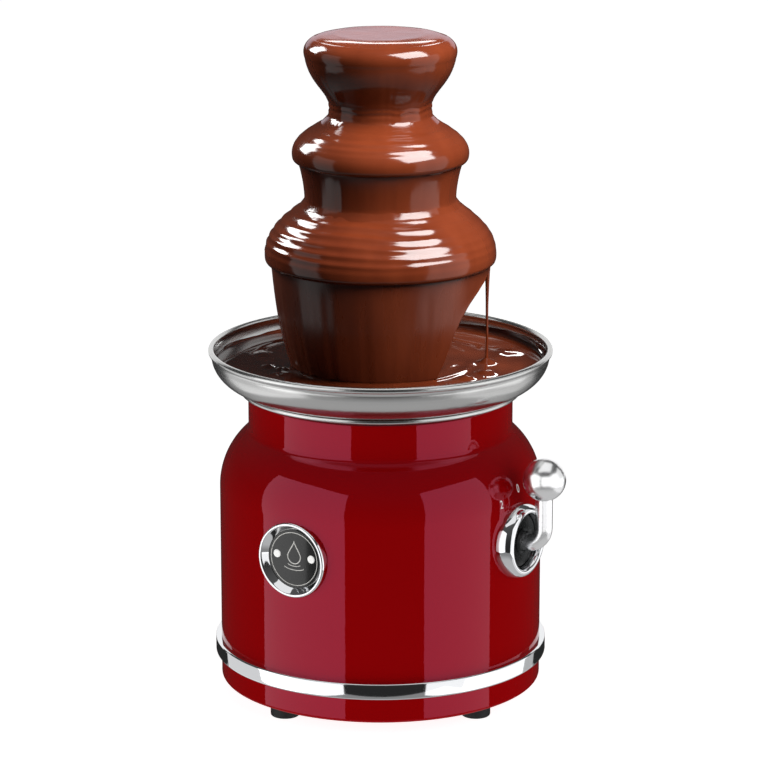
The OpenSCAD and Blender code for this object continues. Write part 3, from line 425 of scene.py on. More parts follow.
def make_finishes(scene):
    """Every finish by its slot in the record, and at the end those that have no slot there."""
    brown, dark = scene.fountain_chocolate.brown, scene.fountain_chocolate.dark
    return {
        "red_gloss": paint_finish("red_gloss_paint", scene.fountain_body.red),
        "chrome": mirror_finish("chrome_plate", scene.fountain_control.chrome),
        "steel_polished": spun_finish("spun_steel", scene.fountain_bowl.steel),
        "steel": metal_finish("zinc_plated_steel", (0.52, 0.53, 0.54), 0.24),
        "black_rubber": moulded_finish("black_rubber_feet", (0.018, 0.018, 0.019), 0.58, 700, 0.25),
        "badge_black": glass_black_finish("badge_black_glass", (0.012, 0.013, 0.012)),
        "disc_black": moulded_finish("dial_black_plastic", (0.020, 0.021, 0.021), 0.22, 800, 0.05, 0.22),
        "lamp_white": lens_finish("lamp_white_lens", (0.92, 0.92, 0.90)),
        "board_green": board_finish("board_green_lacquer", (0.02, 0.14, 0.05)),
        "dark_plastic": moulded_finish("dark_moulded_plastic", (0.035, 0.036, 0.038), 0.45, 600, 0.2),
        "brass": metal_finish("turned_brass", (0.66, 0.46, 0.18), 0.2),
        "white_plastic": moulded_finish("white_nylon", (0.78, 0.76, 0.70), 0.38, 500, 0.1),
        "aluminium": metal_finish("cast_aluminium", (0.66, 0.66, 0.67), 0.32, (1, 1, 1)),
        "element_steel": metal_finish("oxidised_element_steel", (0.24, 0.21, 0.19), 0.42, (1, 1, 1), 0.55),
        "copper": winding_finish("copper_winding", (0.62, 0.26, 0.12)),
        "rotor_iron": metal_finish("laminated_rotor_iron", (0.20, 0.20, 0.21), 0.36, (0.1, 0.1, 14)),
        "tower_plastic": moulded_finish("tower_cream_plastic", (0.62, 0.58, 0.50), 0.34, 420, 0.06),
        "chocolate": chocolate_finish("melted_chocolate", brown, dark, 0.09),
        # The pool's brown is lightened by 1.25 as painted light, a lit copy of the chocolate; its low
        # roughness is that of a still surface
        "still_chocolate_painted_light": chocolate_finish("still_chocolate_painted_light", shade(brown, 1.25), dark, 0.03),
        # The falling curtain's colours are darkened to 0.8 as painted shade, a shaded copy of the chocolate;
        # its higher roughness blurs it as it falls
        "falling_chocolate_painted_shade": chocolate_finish("falling_chocolate_painted_shade", shade(brown, 0.8), shade(dark, 0.8), 0.21),
        "lever_chrome": mirror_finish("satin_lever_chrome", (0.96, 0.96, 0.97), 0.22),
        # Both prints carry a small painted glow, as painted light
        "white_print": print_finish("white_print", (0.88, 0.86, 0.86), 0.30),
        "silver_print": print_finish("silver_print", (0.80, 0.79, 0.75), 0.12),
    }


# Filled by the first operator
FINISHES = {}


# Mesh work, in millimetres

def bezier(a, b, c, d, count):
    """Points along a cubic curve."""
    a, b, c, d = Vector(a), Vector(b), Vector(c), Vector(d)
    ts = [i / count for i in range(count + 1)]
    return [a * (1 - t) ** 3 + b * 3 * t * (1 - t) ** 2 + c * 3 * t * t * (1 - t) + d * t ** 3 for t in ts]


def arc(x, z, radius, start, end, count):
    """Points along an arc, with its angles in degrees."""
    angles = [radians(start + (end - start) * i / count) for i in range(count + 1)]
    return [Vector((x + radius * cos(a), z + radius * sin(a))) for a in angles]


def beside(path, shift):
    """A path moved to its right."""
    moved = []
    for i, point in enumerate(path):
        along = (Vector(path[min(i + 1, len(path) - 1)]) - Vector(path[max(i - 1, 0)])).normalized()
        moved.append(Vector(point) + shift * Vector((along.y, -along.x)))
    return moved


def ease(start, end, value):
    """A smooth step from 0 to 1."""
    t = min(1.0, max(0.0, (value - start) / (end - start)))
    return t * t * (3 - 2 * t)


def between(value, table):
    """The second number of a table at a value of its first, which rises."""
    for (x0, y0), (x1, y1) in zip(table, table[1:]):
        if value <= x1:
            return y0 + (y1 - y0) * max(0.0, value - x0) / max(1e-9, x1 - x0)
    return table[-1][1]


def turn(outline, steps, closed=True, angle=2 * pi):
    """A bmesh turned about Z from an outline of radii and heights."""
    bm = bmesh.new()
    verts = [bm.verts.new((r * MM, 0, z * MM)) for r, z in outline]
    edges = [bm.edges.new(pair) for pair in zip(verts, verts[1:])]
    if closed:
        edges.append(bm.edges.new((verts[-1], verts[0])))
    bmesh.ops.spin(bm, geom=verts + edges, axis=(0, 0, 1), cent=(0, 0, 0), angle=angle, steps=steps,
                   use_merge=angle == 2 * pi)
    bmesh.ops.remove_doubles(bm, verts=bm.verts, dist=1e-7)
    bmesh.ops.recalc_face_normals(bm, faces=bm.faces)
    return bm


def swell(bm, height):
    """Moves each vertex along its normal by a height of its angle, radius and level."""
    bm.normal_update()
    moves = []
    for v in bm.verts:
        r = hypot(v.co.x, v.co.y) / MM
        moves.append(v.normal * height(atan2(v.co.y, v.co.x), r, v.co.z / MM) * MM)
    for v, move in zip(bm.verts, moves):
        v.co += move


def flow(angle, level, around, along, seed=0.0):
    """Noise on a surface round the axis, without a seam."""
    return noise.noise(Vector((cos(angle) * around, sin(angle) * around, level * along + seed)))


# Thickness of a print
INK = ("SOLIDIFY", {"thickness": 0.06 * MM, "offset": 0.0})


def new_mesh(name, bm):
    """A mesh made of a bmesh, which is used up."""
    mesh = bpy.data.meshes.new(name)
    bm.to_mesh(mesh)
    bm.free()
    return mesh


def new_object(name, data):
    """An object of this data, linked to the scene."""
    obj = bpy.data.objects.new(name, data)
    bpy.context.scene.collection.objects.link(obj)
    return obj


def merge(bm, other):
    """Adds another bmesh to a bmesh."""
    mesh = new_mesh("merged", other)
    bm.from_mesh(mesh)
    bpy.data.meshes.remove(mesh)


def shaped_mesh(obj):
    """A bmesh of an object with its modifiers or its curve worked out."""
    shaped = obj.evaluated_get(bpy.context.evaluated_depsgraph_get())
    bm = bmesh.new()
    bm.from_mesh(shaped.to_mesh())
    shaped.to_mesh_clear()
    return bm


def piece(name, bm, slot, stands_for=(), finish=None, sharp=38, modifiers=()):
    """Makes a bmesh a piece of the housing: its object, its finish, which is its slot's unless another is
    named, and the solids it stands for hidden.
    """
    obj = new_object(name, new_mesh(name, bm))
    obj.data.materials.append(FINISHES[finish or slot])
    obj.data.shade_smooth()
    obj.data.set_sharp_from_angle(angle=radians(sharp))
    for kind, settings in modifiers:
        modifier = obj.modifiers.new(kind.title(), kind)
        for key, value in settings.items():
            setattr(modifier, key, value)
    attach(obj, "housing")
    if stands_for:
        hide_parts(*stands_for)


def clean(bm):
    """Takes out edges of no length, faces of no area and pairs of faces that lie on each other."""
    bmesh.ops.triangulate(bm, faces=[f for f in bm.faces if len(f.verts) > 4])
    bmesh.ops.dissolve_degenerate(bm, dist=1e-6, edges=bm.edges)
    by_corners = {}
    for face in bm.faces:
        by_corners.setdefault(frozenset(face.verts), []).append(face)
    folded = [f for faces in by_corners.values() if len(faces) > 1 for f in faces]
    bmesh.ops.delete(bm, geom=folded, context="FACES_ONLY")


def cut(bm, cutters):
    """A bmesh with the cutters' shapes taken out of it."""
    target, tool = (new_object("cut", new_mesh("cut", work)) for work in (bm, cutters))
    modifier = target.modifiers.new("Cut", "BOOLEAN")
    modifier.operation, modifier.object, modifier.solver = "DIFFERENCE", tool, "EXACT"
    result = shaped_mesh(target)
    for obj in (target, tool):
        mesh = obj.data
        bpy.data.objects.remove(obj)
        bpy.data.meshes.remove(mesh)
    clean(result)
    return result


def rod(bm, radius, length, place):
    """Adds a round bar along a placed Z axis to a bmesh."""
    bmesh.ops.create_cone(bm, cap_ends=True, segments=96, radius1=radius * MM, radius2=radius * MM,
                          depth=length * MM, matrix=place)


# A turn that points local Z out of the front or the right side
FRONT = Matrix.Rotation(radians(90), 4, "X")
RIGHT = Matrix.Rotation(radians(90), 4, "Y")


def at(x, y, z):
    """A move by millimetres."""
    return Matrix.Translation((x * MM, y * MM, z * MM))


class FOUNTAIN_OT_solids(bpy.types.Operator):
    """Give every solid the finish of its slot, and the lever a satin one"""

    bl_idname = "fountain.solids"
    bl_label = "Finish Solids"

    def execute(self, context):
        FINISHES.update(make_finishes(context.scene))
        for obj in frame["nodes"].values():
            for i, material in enumerate(obj.data.materials):
                obj.data.materials[i] = FINISHES[material.name.split(".")[0]]
        for node in ("lever_arm", "lever_ball"):
            frame["nodes"][node].data.materials[0] = FINISHES["lever_chrome"]
        return {"FINISHED"}


def shoulder_level(size):
    """Height where the straight body ends and the shoulder begins."""
    arc_r, over = size.shoulder / MM, (size.neck - BODY_R * MM + size.shoulder) / MM
    return NECK_TOP - size.neck_height / MM - sqrt(arc_r ** 2 - over ** 2)


class FOUNTAIN_OT_housing(bpy.types.Operator):
    """Turn the red housing with its shoulder, neck fillet and openings"""

    bl_idname = "fountain.housing"
    bl_label = "Housing"

    def execute(self, context):
        size = context.scene.fountain_body
        shoulder, neck, wall = size.shoulder / MM, size.neck / MM, size.wall / MM
        fillet, edge, deck, seat = size.neck_fillet / MM, 0.8, 3, 1
        centre, shoulder_z = BODY_R - shoulder, shoulder_level(size)
        # The fillet's circle touches the shoulder's arc and the neck's line from outside
        fillet_x = neck + fillet
        fillet_z = shoulder_z + sqrt((shoulder + fillet) ** 2 - (fillet_x - centre) ** 2)
        touch = degrees(atan2(fillet_z - shoulder_z, fillet_x - centre))
        outer = [(BODY_R - seat, BAND_LOW), (BODY_R - seat, BAND_HIGH - 0.6), (BODY_R, BAND_HIGH - 0.6),
                 (BODY_R, BAND_HIGH + 0.1), (BODY_R, shoulder_z - 30)]
        outer += arc(centre, shoulder_z, shoulder, 0, touch, 40)
        outer += arc(fillet_x, fillet_z, fillet, 180 + touch, 180, 10)[1:] + [(neck, NECK_TOP - 1.0)]
        outer += arc(neck - edge, NECK_TOP - edge, edge, 0, 90, 5) + [(DECK_R, NECK_TOP)]
        inner = [(DECK_R, NECK_TOP - deck), (neck - wall, NECK_TOP - deck)]
        inner += arc(centre, shoulder_z, shoulder - wall, touch, 0, 16) + [(BODY_R - wall, BAND_LOW)]
        tools = bmesh.new()
        for radius, place in ((BADGE_HOLE_R, at(0, -BODY_R, BADGE_Z) @ FRONT),
                              (DIAL_HOLE_R, at(BODY_R, 0, DIAL_Z) @ RIGHT),
                              (GLAND_HOLE_R, at(0, BODY_R, GLAND_Z) @ FRONT)):
            rod(tools, radius, 40, place)
        shell = cut(turn(outer + inner, ROUND), tools)
        piece("housing_red_shell", shell, "red_gloss", stands_for=["housing_shell"], sharp=30)
        return {"FINISHED"}


class FOUNTAIN_OT_band(bpy.types.Operator):
    """Turn the chrome band with rounded edges"""

    bl_idname = "fountain.band"
    bl_label = "Chrome Band"

    def execute(self, context):
        edge, inside = context.scene.fountain_body.band_edge / MM, BODY_R - 0.9
        outline = [(inside, BAND_LOW)] + arc(BAND_R - edge, BAND_LOW + edge, edge, -90, 0, 8)
        outline += arc(BAND_R - edge, BAND_HIGH - edge, edge, 0, 90, 8) + [(inside, BAND_HIGH)]
        piece("band_chrome", turn(outline, ROUND), "chrome", stands_for=["trim_band"])
        return {"FINISHED"}


class FOUNTAIN_OT_feet(bpy.types.Operator):
    """Turn the rubber feet with rounded soles"""

    bl_idname = "fountain.feet"
    bl_label = "Feet"

    def execute(self, context):
        top = PAN_Z + 2.0
        if high("feet").z < top:
            raise RuntimeError("the feet are shorter than the pan's floor is high")
        outline = [(0, 0.35), (5.2, 0.35), (5.7, 0)] + arc(7.3, 1.2, 1.2, -90, 0, 6) + [(8.5, top), (0, top)]
        feet = bmesh.new()
        for i in range(4):
            foot = turn(outline, 48, closed=False)
            foot.transform(Matrix.Rotation(FEET_TURN + i * pi / 2, 4, "Z") @ at(FEET_R, 0, low("feet").z))
            merge(feet, foot)
        piece("feet_rubber", feet, "black_rubber", stands_for=["feet"])
        return {"FINISHED"}


class FOUNTAIN_OT_badge(bpy.types.Operator):
    """Turn the badge's bezel and print its ring line, drop and ripples"""

    bl_idname = "fountain.badge"
    bl_label = "Badge"

    def execute(self, context):
        size = context.scene.fountain_control
        front, cup, slope, crest = -BADGE_Y, 17.15, 19.8, 20.8
        outline = [(cup, front - 5.4), (cup, front - 3.7)]
        outline += bezier(outline[-1], (17.7, front - 3.0), (19.0, front - 1.5), (slope, front - 0.5), 8)[1:]
        outline += bezier(outline[-1], (20.1, front - 0.1), (20.5, front), (crest, front), 5)[1:]
        outline += bezier(outline[-1], (21.5, front), (BADGE_R, front - 0.7), (BADGE_R, front - 1.7), 8)[1:]
        outline += [(BADGE_R, front - 5.0), (18.3, front - 5.4)]
        bezel = turn(outline, RING)
        bezel.transform(at(0, 0, BADGE_Z) @ FRONT)
        piece("badge_chrome_bezel", bezel, "chrome", stands_for=["badge_bezel"])
        lines = bmesh.new()
        ring_line(lines, size.ring, 0.42 * MM, Matrix.Identity(4))
        ring_line(lines, size.motif * 0.33, 0.62 * MM, at(0, 1.6, 0), drop=size.motif * 0.67)
        for wide, level in ((4.2, -3.0), (6.6, -4.6)):
            ripple = [Vector((p.x, level + 0.28 * p.y)) for p in arc(0, 0, wide, 190, 350, 24)]
            stroke(lines, ripple, 0.42)
        lines.transform(at(0, FACE_Y - 0.04, BADGE_Z) @ FRONT)
        bmesh.ops.recalc_face_normals(lines, faces=lines.faces)
        piece("badge_silver_print", lines, "badge_black", finish="silver_print", modifiers=[INK])
        return {"FINISHED"}


def stroke(bm, path, width):
    """Adds a flat line of one width along a path."""
    left, right = ([bm.verts.new((p.x * MM, p.y * MM, 0)) for p in beside(path, shift)]
                   for shift in (-width / 2, width / 2))
    for corners in zip(left, right, right[1:], left[1:]):
        bm.faces.new(corners)


def ring_line(bm, radius, width, place, drop=0.0):
    """Adds a thin flat ring, drawn out to a point at its top where it is a drop."""
    ring = bmesh.ops.create_circle(bm, cap_ends=False, segments=96, radius=radius - width)
    inside = ring["verts"]
    edges = list({e for v in inside for e in v.link_edges})
    grown = bmesh.ops.extrude_edge_only(bm, edges=edges)["geom"]
    outside = [g for g in grown if isinstance(g, bmesh.types.BMVert)]
    bmesh.ops.scale(bm, vec=Vector((1, 1, 1)) * (radius / (radius - width)), verts=outside)
    for verts, reach, tip in ((inside, radius - width, drop - 2.2 * width), (outside, radius, drop)):
        for v in verts:
            if drop and v.co.y > 0:
                t = v.co.y / reach
                v.co.x *= 1 - t ** 1.6 * 0.97 * (1 - 0.35 * (1 - t))
                v.co.y *= tip / reach * (0.62 + 0.38 * t)
    bmesh.ops.transform(bm, matrix=place, verts=inside + outside)


class FOUNTAIN_OT_dial(bpy.types.Operator):
    """Turn the dial's chrome ring and print the numbers round it"""

    bl_idname = "fountain.dial"
    bl_label = "Dial"

    def execute(self, context):
        size = context.scene.fountain_control
        front, cup, crest = DIAL_X, 15.45, 17.7
        outline = [(cup, front - 9.5), (cup, front - 4.4)]
        outline += bezier(outline[-1], (15.7, front - 1.8), (16.6, front), (crest, front), 10)[1:]
        outline += bezier(outline[-1], (20.2, front), (DIAL_R, front - 3.0), (DIAL_R, front - 8.0), 14)[1:]
        ring = turn(outline + [(DIAL_R, front - 9.5)], RING)
        ring.transform(at(0, 0, DIAL_Z) @ RIGHT)
        piece("dial_chrome_ring", ring, "chrome", stands_for=["lever_escutcheon"])
        numbers = bmesh.new()
        for text, turn_by in (("0", 0), ("2", -1), ("1", 1)):
            angle = turn_by * size.numeral_turn
            merge(numbers, self.numeral(text, size.numeral, size.numeral_reach * sin(angle),
                                        size.numeral_reach * cos(angle)))
        clean(numbers)
        piece("dial_white_numbers", numbers, "red_gloss", finish="white_print", modifiers=[INK])
        return {"FINISHED"}

    def numeral(self, text, height, across, up):
        """One number, laid on the body beside the dial."""
        curve = bpy.data.curves.new("numeral", "FONT")
        font_per_height, narrow = 1.38, 0.74
        curve.body, curve.size, curve.resolution_u = text, height * font_per_height, 6
        curve.align_x = curve.align_y = "CENTER"
        obj = new_object("numeral", curve)
        bm = shaped_mesh(obj)
        bpy.data.objects.remove(obj)
        bpy.data.curves.remove(curve)
        body = bpy.context.scene.fountain_body
        shoulder, shoulder_z = body.shoulder, shoulder_level(body) * MM
        bmesh.ops.subdivide_edges(bm, edges=bm.edges, cuts=1)
        for v in bm.verts:
            z = DIAL_Z * MM + up + v.co.y
            over = max(0.0, z - shoulder_z)
            radius = (BODY_R + PRINT_LIFT) * MM - shoulder + sqrt(shoulder ** 2 - over ** 2)
            angle = (across + v.co.x * narrow) / radius
            v.co = (radius * cos(angle), radius * sin(angle), z)
        return bm


class FOUNTAIN_OT_bowl(bpy.types.Operator):
    """Turn the steel bowl with its bead and rolled rim"""

    bl_idname = "fountain.bowl"
    bl_label = "Bowl"

    def execute(self, context):
        size = context.scene.fountain_bowl
        rim, bead, sheet = size.rim / MM, size.bead / MM, size.sheet / MM
        wall = bowl_wall(rim, bead)
        outline = [(BOWL_HOLE_R, BOWL_Z), (BOWL_FOOT_R, BOWL_Z)]
        outline += arc(BOWL_FOOT_R, BOWL_Z + bead, bead, -90, 62, 14) + wall[1:-1]
        outline += arc(BOWL_R - rim, RIM_Z - rim, rim, -62, 222, 22)
        outline += list(reversed(beside(wall, -sheet)))[1:]
        outline += [(79.2, BOWL_Z + sheet), (BOWL_HOLE_R, BOWL_Z + sheet)]
        piece("bowl_spun_steel", turn(outline, ROUND), "steel_polished", stands_for=["bowl"], sharp=50)
        return {"FINISHED"}


def bowl_wall(rim, bead):
    """The outside of the bowl's wall, from its bead up to its rim."""
    foot = (BOWL_FOOT_R + bead, BOWL_Z + 2 * bead)
    top = (BOWL_R - rim, RIM_Z - 2 * rim)
    wide, tall = top[0] - foot[0], top[1] - foot[1]
    return bezier(foot, (foot[0] + 0.6 * wide, foot[1] + 0.16 * tall),
                  (top[0], top[1] - 0.48 * tall), top, 28)


class FOUNTAIN_OT_pool(bpy.types.Operator):
    """Lay the pool of chocolate in the bowl, with its waves and the film on the wall"""

    bl_idname = "fountain.pool"
    bl_label = "Chocolate Pool"

    def execute(self, context):
        size, bowl = context.scene.fountain_chocolate, context.scene.fountain_bowl
        wave, tear = size.wave / MM, size.tear
        wall = beside(bowl_wall(bowl.rim / MM, bowl.bead / MM), -bowl.sheet / MM)
        by_height = [(p.y, p.x) for p in wall]
        edge = between(POOL_Z, by_height) - 0.3
        inner, foot, floor = TUBE_R + 0.1, 30.4, BOWL_Z + 1.4
        film, landing, count = 6.0, 52.2, 106
        outline = [(inner + (edge - 1.2 - inner) * i / count, POOL_Z) for i in range(count + 1)]
        outline += [(edge - 0.75, POOL_Z + 0.25), (edge - 0.4, POOL_Z + 0.8)]
        for gap, levels in ((0.32, (1.6, 2.4, 3.2, 4.2, 5.1, film)), (0.06, (film, 4.0, 2.0, 0.0)),
                            (0.3, (-5, -10))):
            outline += [(between(POOL_Z + h, by_height) - gap, POOL_Z + h) for h in levels]
        # Under the surface it stops at the tower's foot, and closes over the pins to the tube
        outline += [(79.4, floor), (foot, floor), (foot, PIN_TOP + 0.3), (inner, PIN_TOP + 0.3)]
        bm = turn(outline, 300)
        for v in bm.verts:
            r, angle, z = hypot(v.co.x, v.co.y) / MM, atan2(v.co.y, v.co.x), v.co.z / MM
            if z < POOL_Z - 0.01:
                continue
            if z > POOL_Z + 0.01:
                # The film climbs the wall to an uneven edge, highest beside the strand
                side = 0.5 + 0.5 * cos(angle - tear + 0.5)
                reach = 0.16 + 0.72 * side ** 1.2
                reach += 0.16 * flow(angle, 0, 3.0, 0, 4.0) + 0.07 * flow(angle, 0, 11.0, 0, 9.0)
                lift = (z - POOL_Z) * min(1.0, max(0.07, reach))
                gap = between(z, by_height) - r
                v.co.z = (POOL_Z + lift) * MM
                r = between(POOL_Z + lift, by_height) - gap
                v.co.x, v.co.y = r * MM * cos(angle), r * MM * sin(angle)
                continue
            away = r - landing
            ring = cos(away * 0.6 + 1.8 * flow(angle, 0, 2.2, 0, 1.0))
            rise = 0.4 * wave * exp(-abs(away) / 9) * ring
            rise += wave * 0.9 * flow(angle + r * 0.016, r * 0.06, 1.5, 1.0, 2.0)
            rise += wave * 0.35 * flow(angle - r * 0.02, r * 0.16, 2.4, 1.0, 7.0)
            for turn_by, reach, high_by, wide in self.splashes(tear):
                far = hypot(r * cos(angle - turn_by) - reach, r * sin(angle - turn_by))
                rise += high_by * exp(-(far / wide) ** 2)
            fade = ease(0.0, 6.0, edge - r) * (0.35 + 0.65 * ease(0.0, 8.0, r - inner))
            meniscus = 0.9 * exp(-(r - inner) / 1.1)
            v.co.z += (rise * fade + meniscus) * MM
        bmesh.ops.recalc_face_normals(bm, faces=bm.faces)
        piece("pool_chocolate", bm, "chocolate", stands_for=["chocolate_pool"],
              finish="still_chocolate_painted_light", sharp=80)
        return {"FINISHED"}

    def splashes(self, tear):
        """Where the flow heaps up: turn, distance from the axis, height and width."""
        r = radians
        return [(tear, 61.4, 2.6, 4.2), (tear - r(22), 66, 1.9, 4.6), (tear - r(36), 63, 1.6, 4.0),
                (tear - r(52), 70, 1.5, 5.0), (r(-128), 60, 2.2, 3.6), (r(-136), 66, 1.7, 3.2),
                (r(-121), 68, 1.2, 3.6), (r(-160), 70, 1.0, 6.0), (tear + r(20), 78, 1.1, 7.0)]


def dome(radius, inner, level, tall):
    """A dome's outline, from the sheet that lands on it to its lip."""
    wide = radius - inner
    return bezier((inner, level + tall), (inner + 0.44 * wide, level + 0.757 * tall),
                  (radius + 0.07 * wide, level + 0.49 * tall), (radius, level), 40)


def lower_dome(size):
    """The lower dome's outline, which begins under the foot of the middle tier's curtain."""
    return dome(size.lower / MM, size.middle / MM - 5.1, LOWER_Z, LOWER_TALL)


def middle_dome(size):
    """The middle dome's outline, which begins under the foot of the crown's sheet."""
    return dome(size.middle / MM, size.crown / MM - 11.5, MIDDLE_Z, MIDDLE_TALL)


def coat(path, middle):
    """The outline of a coat that ends under the sheet above it, with what lies between its two faces."""
    foot = path[0]
    ends = [(foot.x - 4.0, foot.y + 1.4), (foot.x - 2.0, foot.y + 0.9)]
    return ends + path + middle + list(reversed(beside(path, COAT))) + [(foot.x - 4.0, foot.y - 1.5)]


def lip(radius, level):
    """The rounded underside of a lip."""
    return bezier((radius, level), (radius - 0.1, level - 0.55 * LIP), (radius - 1.4, level - 0.97 * LIP),
                  (radius - LIP, level - LIP), 10)[1:]


def settle(start, path, share):
    """The flare of a sheet that settles on a dome, ending just under its surface."""
    spot = round(share * (len(path) - 1))
    end = path[spot] + Vector((0, -0.25))
    below = start + Vector((0, -0.55 * (start.y - end.y)))
    return bezier(start, below, end + (path[spot - 4] - end) * 1.6, end, 14)[1:]


class FOUNTAIN_OT_lower_flow(bpy.types.Operator):
    """Pour the chocolate over the lower tier: rippled dome, torn curtain and strand"""

    bl_idname = "fountain.lower_flow"
    bl_label = "Lower Tier Chocolate"

    def execute(self, context):
        size = context.scene.fountain_chocolate
        self.dome(size)
        self.curtain(size)
        self.strand(size)
        return {"FINISHED"}

    def dome(self, size):
        """The coat of the dome, with ripples that wind down it."""
        path = lower_dome(size)
        bm = turn(coat(path, lip(size.lower / MM, LOWER_Z)), 300)
        ripple, waves = size.ripple / MM, LOWER_LONG / (size.spacing / MM)
        strongest = radians(-110)

        def height(angle, r, z):
            s = (path[0].y - z) / LOWER_TALL
            fade = ease(-0.12, 0.08, s) * (1 - ease(0.72, 0.98, s))
            strong = 0.22 + 0.78 * (0.5 + 0.5 * cos(angle - strongest)) ** 1.3
            bend = 2.2 * flow(angle, s, 1.3, 0.8, 3.0)
            wave = sin(2 * pi * waves * s - angle + bend)
            sharp = wave * (0.75 + 0.25 * wave)
            slack = 0.55 * flow(angle, s, 1.6, 1.4, 5.0) * ease(-0.05, 0.3, s)
            return ripple * fade * strong * sharp + slack + 0.12 * flow(angle, z, 7.0, 0.12, 8.0)

        swell(bm, height)
        piece("lower_dome_chocolate", bm, "chocolate", stands_for=["chocolate_lower_coat"], sharp=60)

    def curtain(self, size):
        """The falling sheet, with its tear swept open on both sides of the strand."""
        radius = size.lower / MM
        top, land, r, opened = LOWER_LIP + 1.6, radius - 14.6, radius - LIP, radians(300)
        path = [Vector((r + 0.3, top))] + bezier((r, LOWER_LIP - 0.3), (r - 1.9, LOWER_LIP - 15.3),
                                                 (r - 2.7, POOL_Z + 24), (land, POOL_Z - 0.6), 44)
        bm = turn(path, 260, closed=False, angle=opened)
        edges = {}
        for name, w in (("front", -40.0), ("back", 54.0)):
            sweep = bezier((3.0 * copysign(1, w), LOWER_LIP + 0.7), (w * 0.3, LOWER_LIP - 9.3),
                           (w * 0.96, LOWER_LIP - 7.3), (w, POOL_Z + 20), 24)
            edges[name] = sorted([(p.y, p.x) for p in sweep] + [(POOL_Z - 5, w)])
        for v in bm.verts:
            reach, z = hypot(v.co.x, v.co.y) / MM, v.co.z / MM
            share = (atan2(v.co.y, v.co.x) % (2 * pi)) / opened
            # The first row can be read as almost a whole turn
            share = 0.0 if share > 1.1 else share
            fray = 0.5 * noise.noise(Vector((0.0, z * 0.13, 2.0)))
            start = size.tear + asin(min(0.97, (between(z, edges["back"]) + fray) / reach))
            end = size.tear + asin(max(-1.0, (between(z, edges["front"]) + fray) / reach)) + 2 * pi
            angle = start + (end - start) * share
            near = min(share, 1 - share) * (end - start) * reach
            wander = 0.45 * flow(angle, z, 4.5, 0.012, 1.0) + 0.22 * flow(angle, z, 13.0, 0.010, 6.0)
            reach += wander * ease(LOWER_LIP + 1, LOWER_LIP - 12, z) + 0.5 * exp(-near / 2.5)
            v.co.x, v.co.y = reach * MM * cos(angle), reach * MM * sin(angle)
        bmesh.ops.recalc_face_normals(bm, faces=bm.faces)
        middle = bm.faces[:][len(bm.faces) // 2]
        centre = middle.calc_center_median()
        if middle.normal.x * centre.x + middle.normal.y * centre.y < 0:
            bmesh.ops.reverse_faces(bm, faces=bm.faces)
        piece("lower_curtain_chocolate", bm, "chocolate", stands_for=["chocolate_lower_curtain"], sharp=80,
              finish="falling_chocolate_painted_shade",
              modifiers=[("SOLIDIFY", {"thickness": size.sheet, "offset": -1.0}),
                         ("SUBSURF", {"levels": 1, "render_levels": 1})])

    def strand(self, size):
        """The thin strand that hangs in the tear."""
        base, top = POOL_Z - 0.2, LOWER_LIP + 0.8
        radii = [(0.0, 2.4), (0.02, 1.7), (0.05, 1.05), (0.12, 0.78), (0.35, 0.72), (0.6, 0.85), (0.78, 1.15),
                 (0.9, 1.6), (0.97, 2.1), (1.0, 2.3)]
        rows = 60
        side = [(between(i / rows, radii), base + (top - base) * i / rows) for i in range(rows + 1)]
        bm = turn([(0, base)] + side + [(0, top)], 28, closed=False)
        reach = size.lower / MM - 5.4
        for v in bm.verts:
            s = (v.co.z / MM - base) / (top - base)
            bow = 0.35 * sin(pi * s) + 0.12 * sin(9 * s)
            v.co.x += (reach + bow) * MM
            v.co.y += 0.25 * sin(5 * s) * s * (1 - s) * MM
        bm.transform(Matrix.Rotation(size.tear, 4, "Z"))
        piece("strand_chocolate", bm, "chocolate", stands_for=["chocolate_strand"], sharp=80)


class FOUNTAIN_OT_middle_flow(bpy.types.Operator):
    """Pour the chocolate over the middle tier: dome, lip and unbroken curtain"""

    bl_idname = "fountain.middle_flow"
    bl_label = "Middle Tier Chocolate"

    def execute(self, context):
        size = context.scene.fountain_chocolate
        sheet = size.sheet / MM
        path, below = middle_dome(size), lower_dome(size)
        radius, rows = size.middle / MM, 26
        r, z = radius - LIP, MIDDLE_LIP - 0.2
        end = Vector((radius - 7.1, LOWER_Z + LOWER_TALL + 4.5))
        fall = bezier((r, z), (r - 1.6, z - 5), (radius - 6.9, end.y + 6), end, rows)
        fall += settle(end, below, 0.17)
        back = [fall[-1] + Vector((-1.0, -0.6))] + list(reversed(beside(fall[:rows + 1], sheet)))
        bm = turn(coat(path, lip(radius, MIDDLE_Z) + fall + back + [(r - sheet, MIDDLE_LIP + 1.5)]), 280)
        ripple, waves = size.ripple / MM, MIDDLE_LONG / (size.spacing / MM * 0.8)
        strongest = radians(-40)

        def height(angle, reach, level):
            if level < MIDDLE_LIP - 0.1:
                folds = 0.26 * flow(angle, level, 4.0, 0.015, 2.0)
                folds += 0.12 * flow(angle, level, 15.0, 0.012, 5.0)
                fade = ease(MIDDLE_LIP, MIDDLE_LIP - 5, level)
                return folds * fade * ease(LOWER_Z + LOWER_TALL - 3, end.y, level)
            s = (path[0].y - level) / MIDDLE_TALL
            fade = ease(-0.2, 0.05, s) * (1 - ease(0.35, 0.75, s))
            strong = 0.15 + 0.85 * (0.5 + 0.5 * cos(angle - strongest)) ** 2
            wave = sin(2 * pi * waves * s - angle + 2.0 * flow(angle, s, 1.5, 0.8, 11.0))
            slack = 0.35 * flow(angle, s, 1.6, 1.4, 15.0) * ease(-0.05, 0.3, s)
            return 0.45 * ripple * fade * strong * wave + slack

        swell(bm, height)
        piece("middle_flow_chocolate", bm, "chocolate",
              stands_for=["chocolate_middle_coat", "chocolate_middle_curtain"], sharp=60)
        return {"FINISHED"}


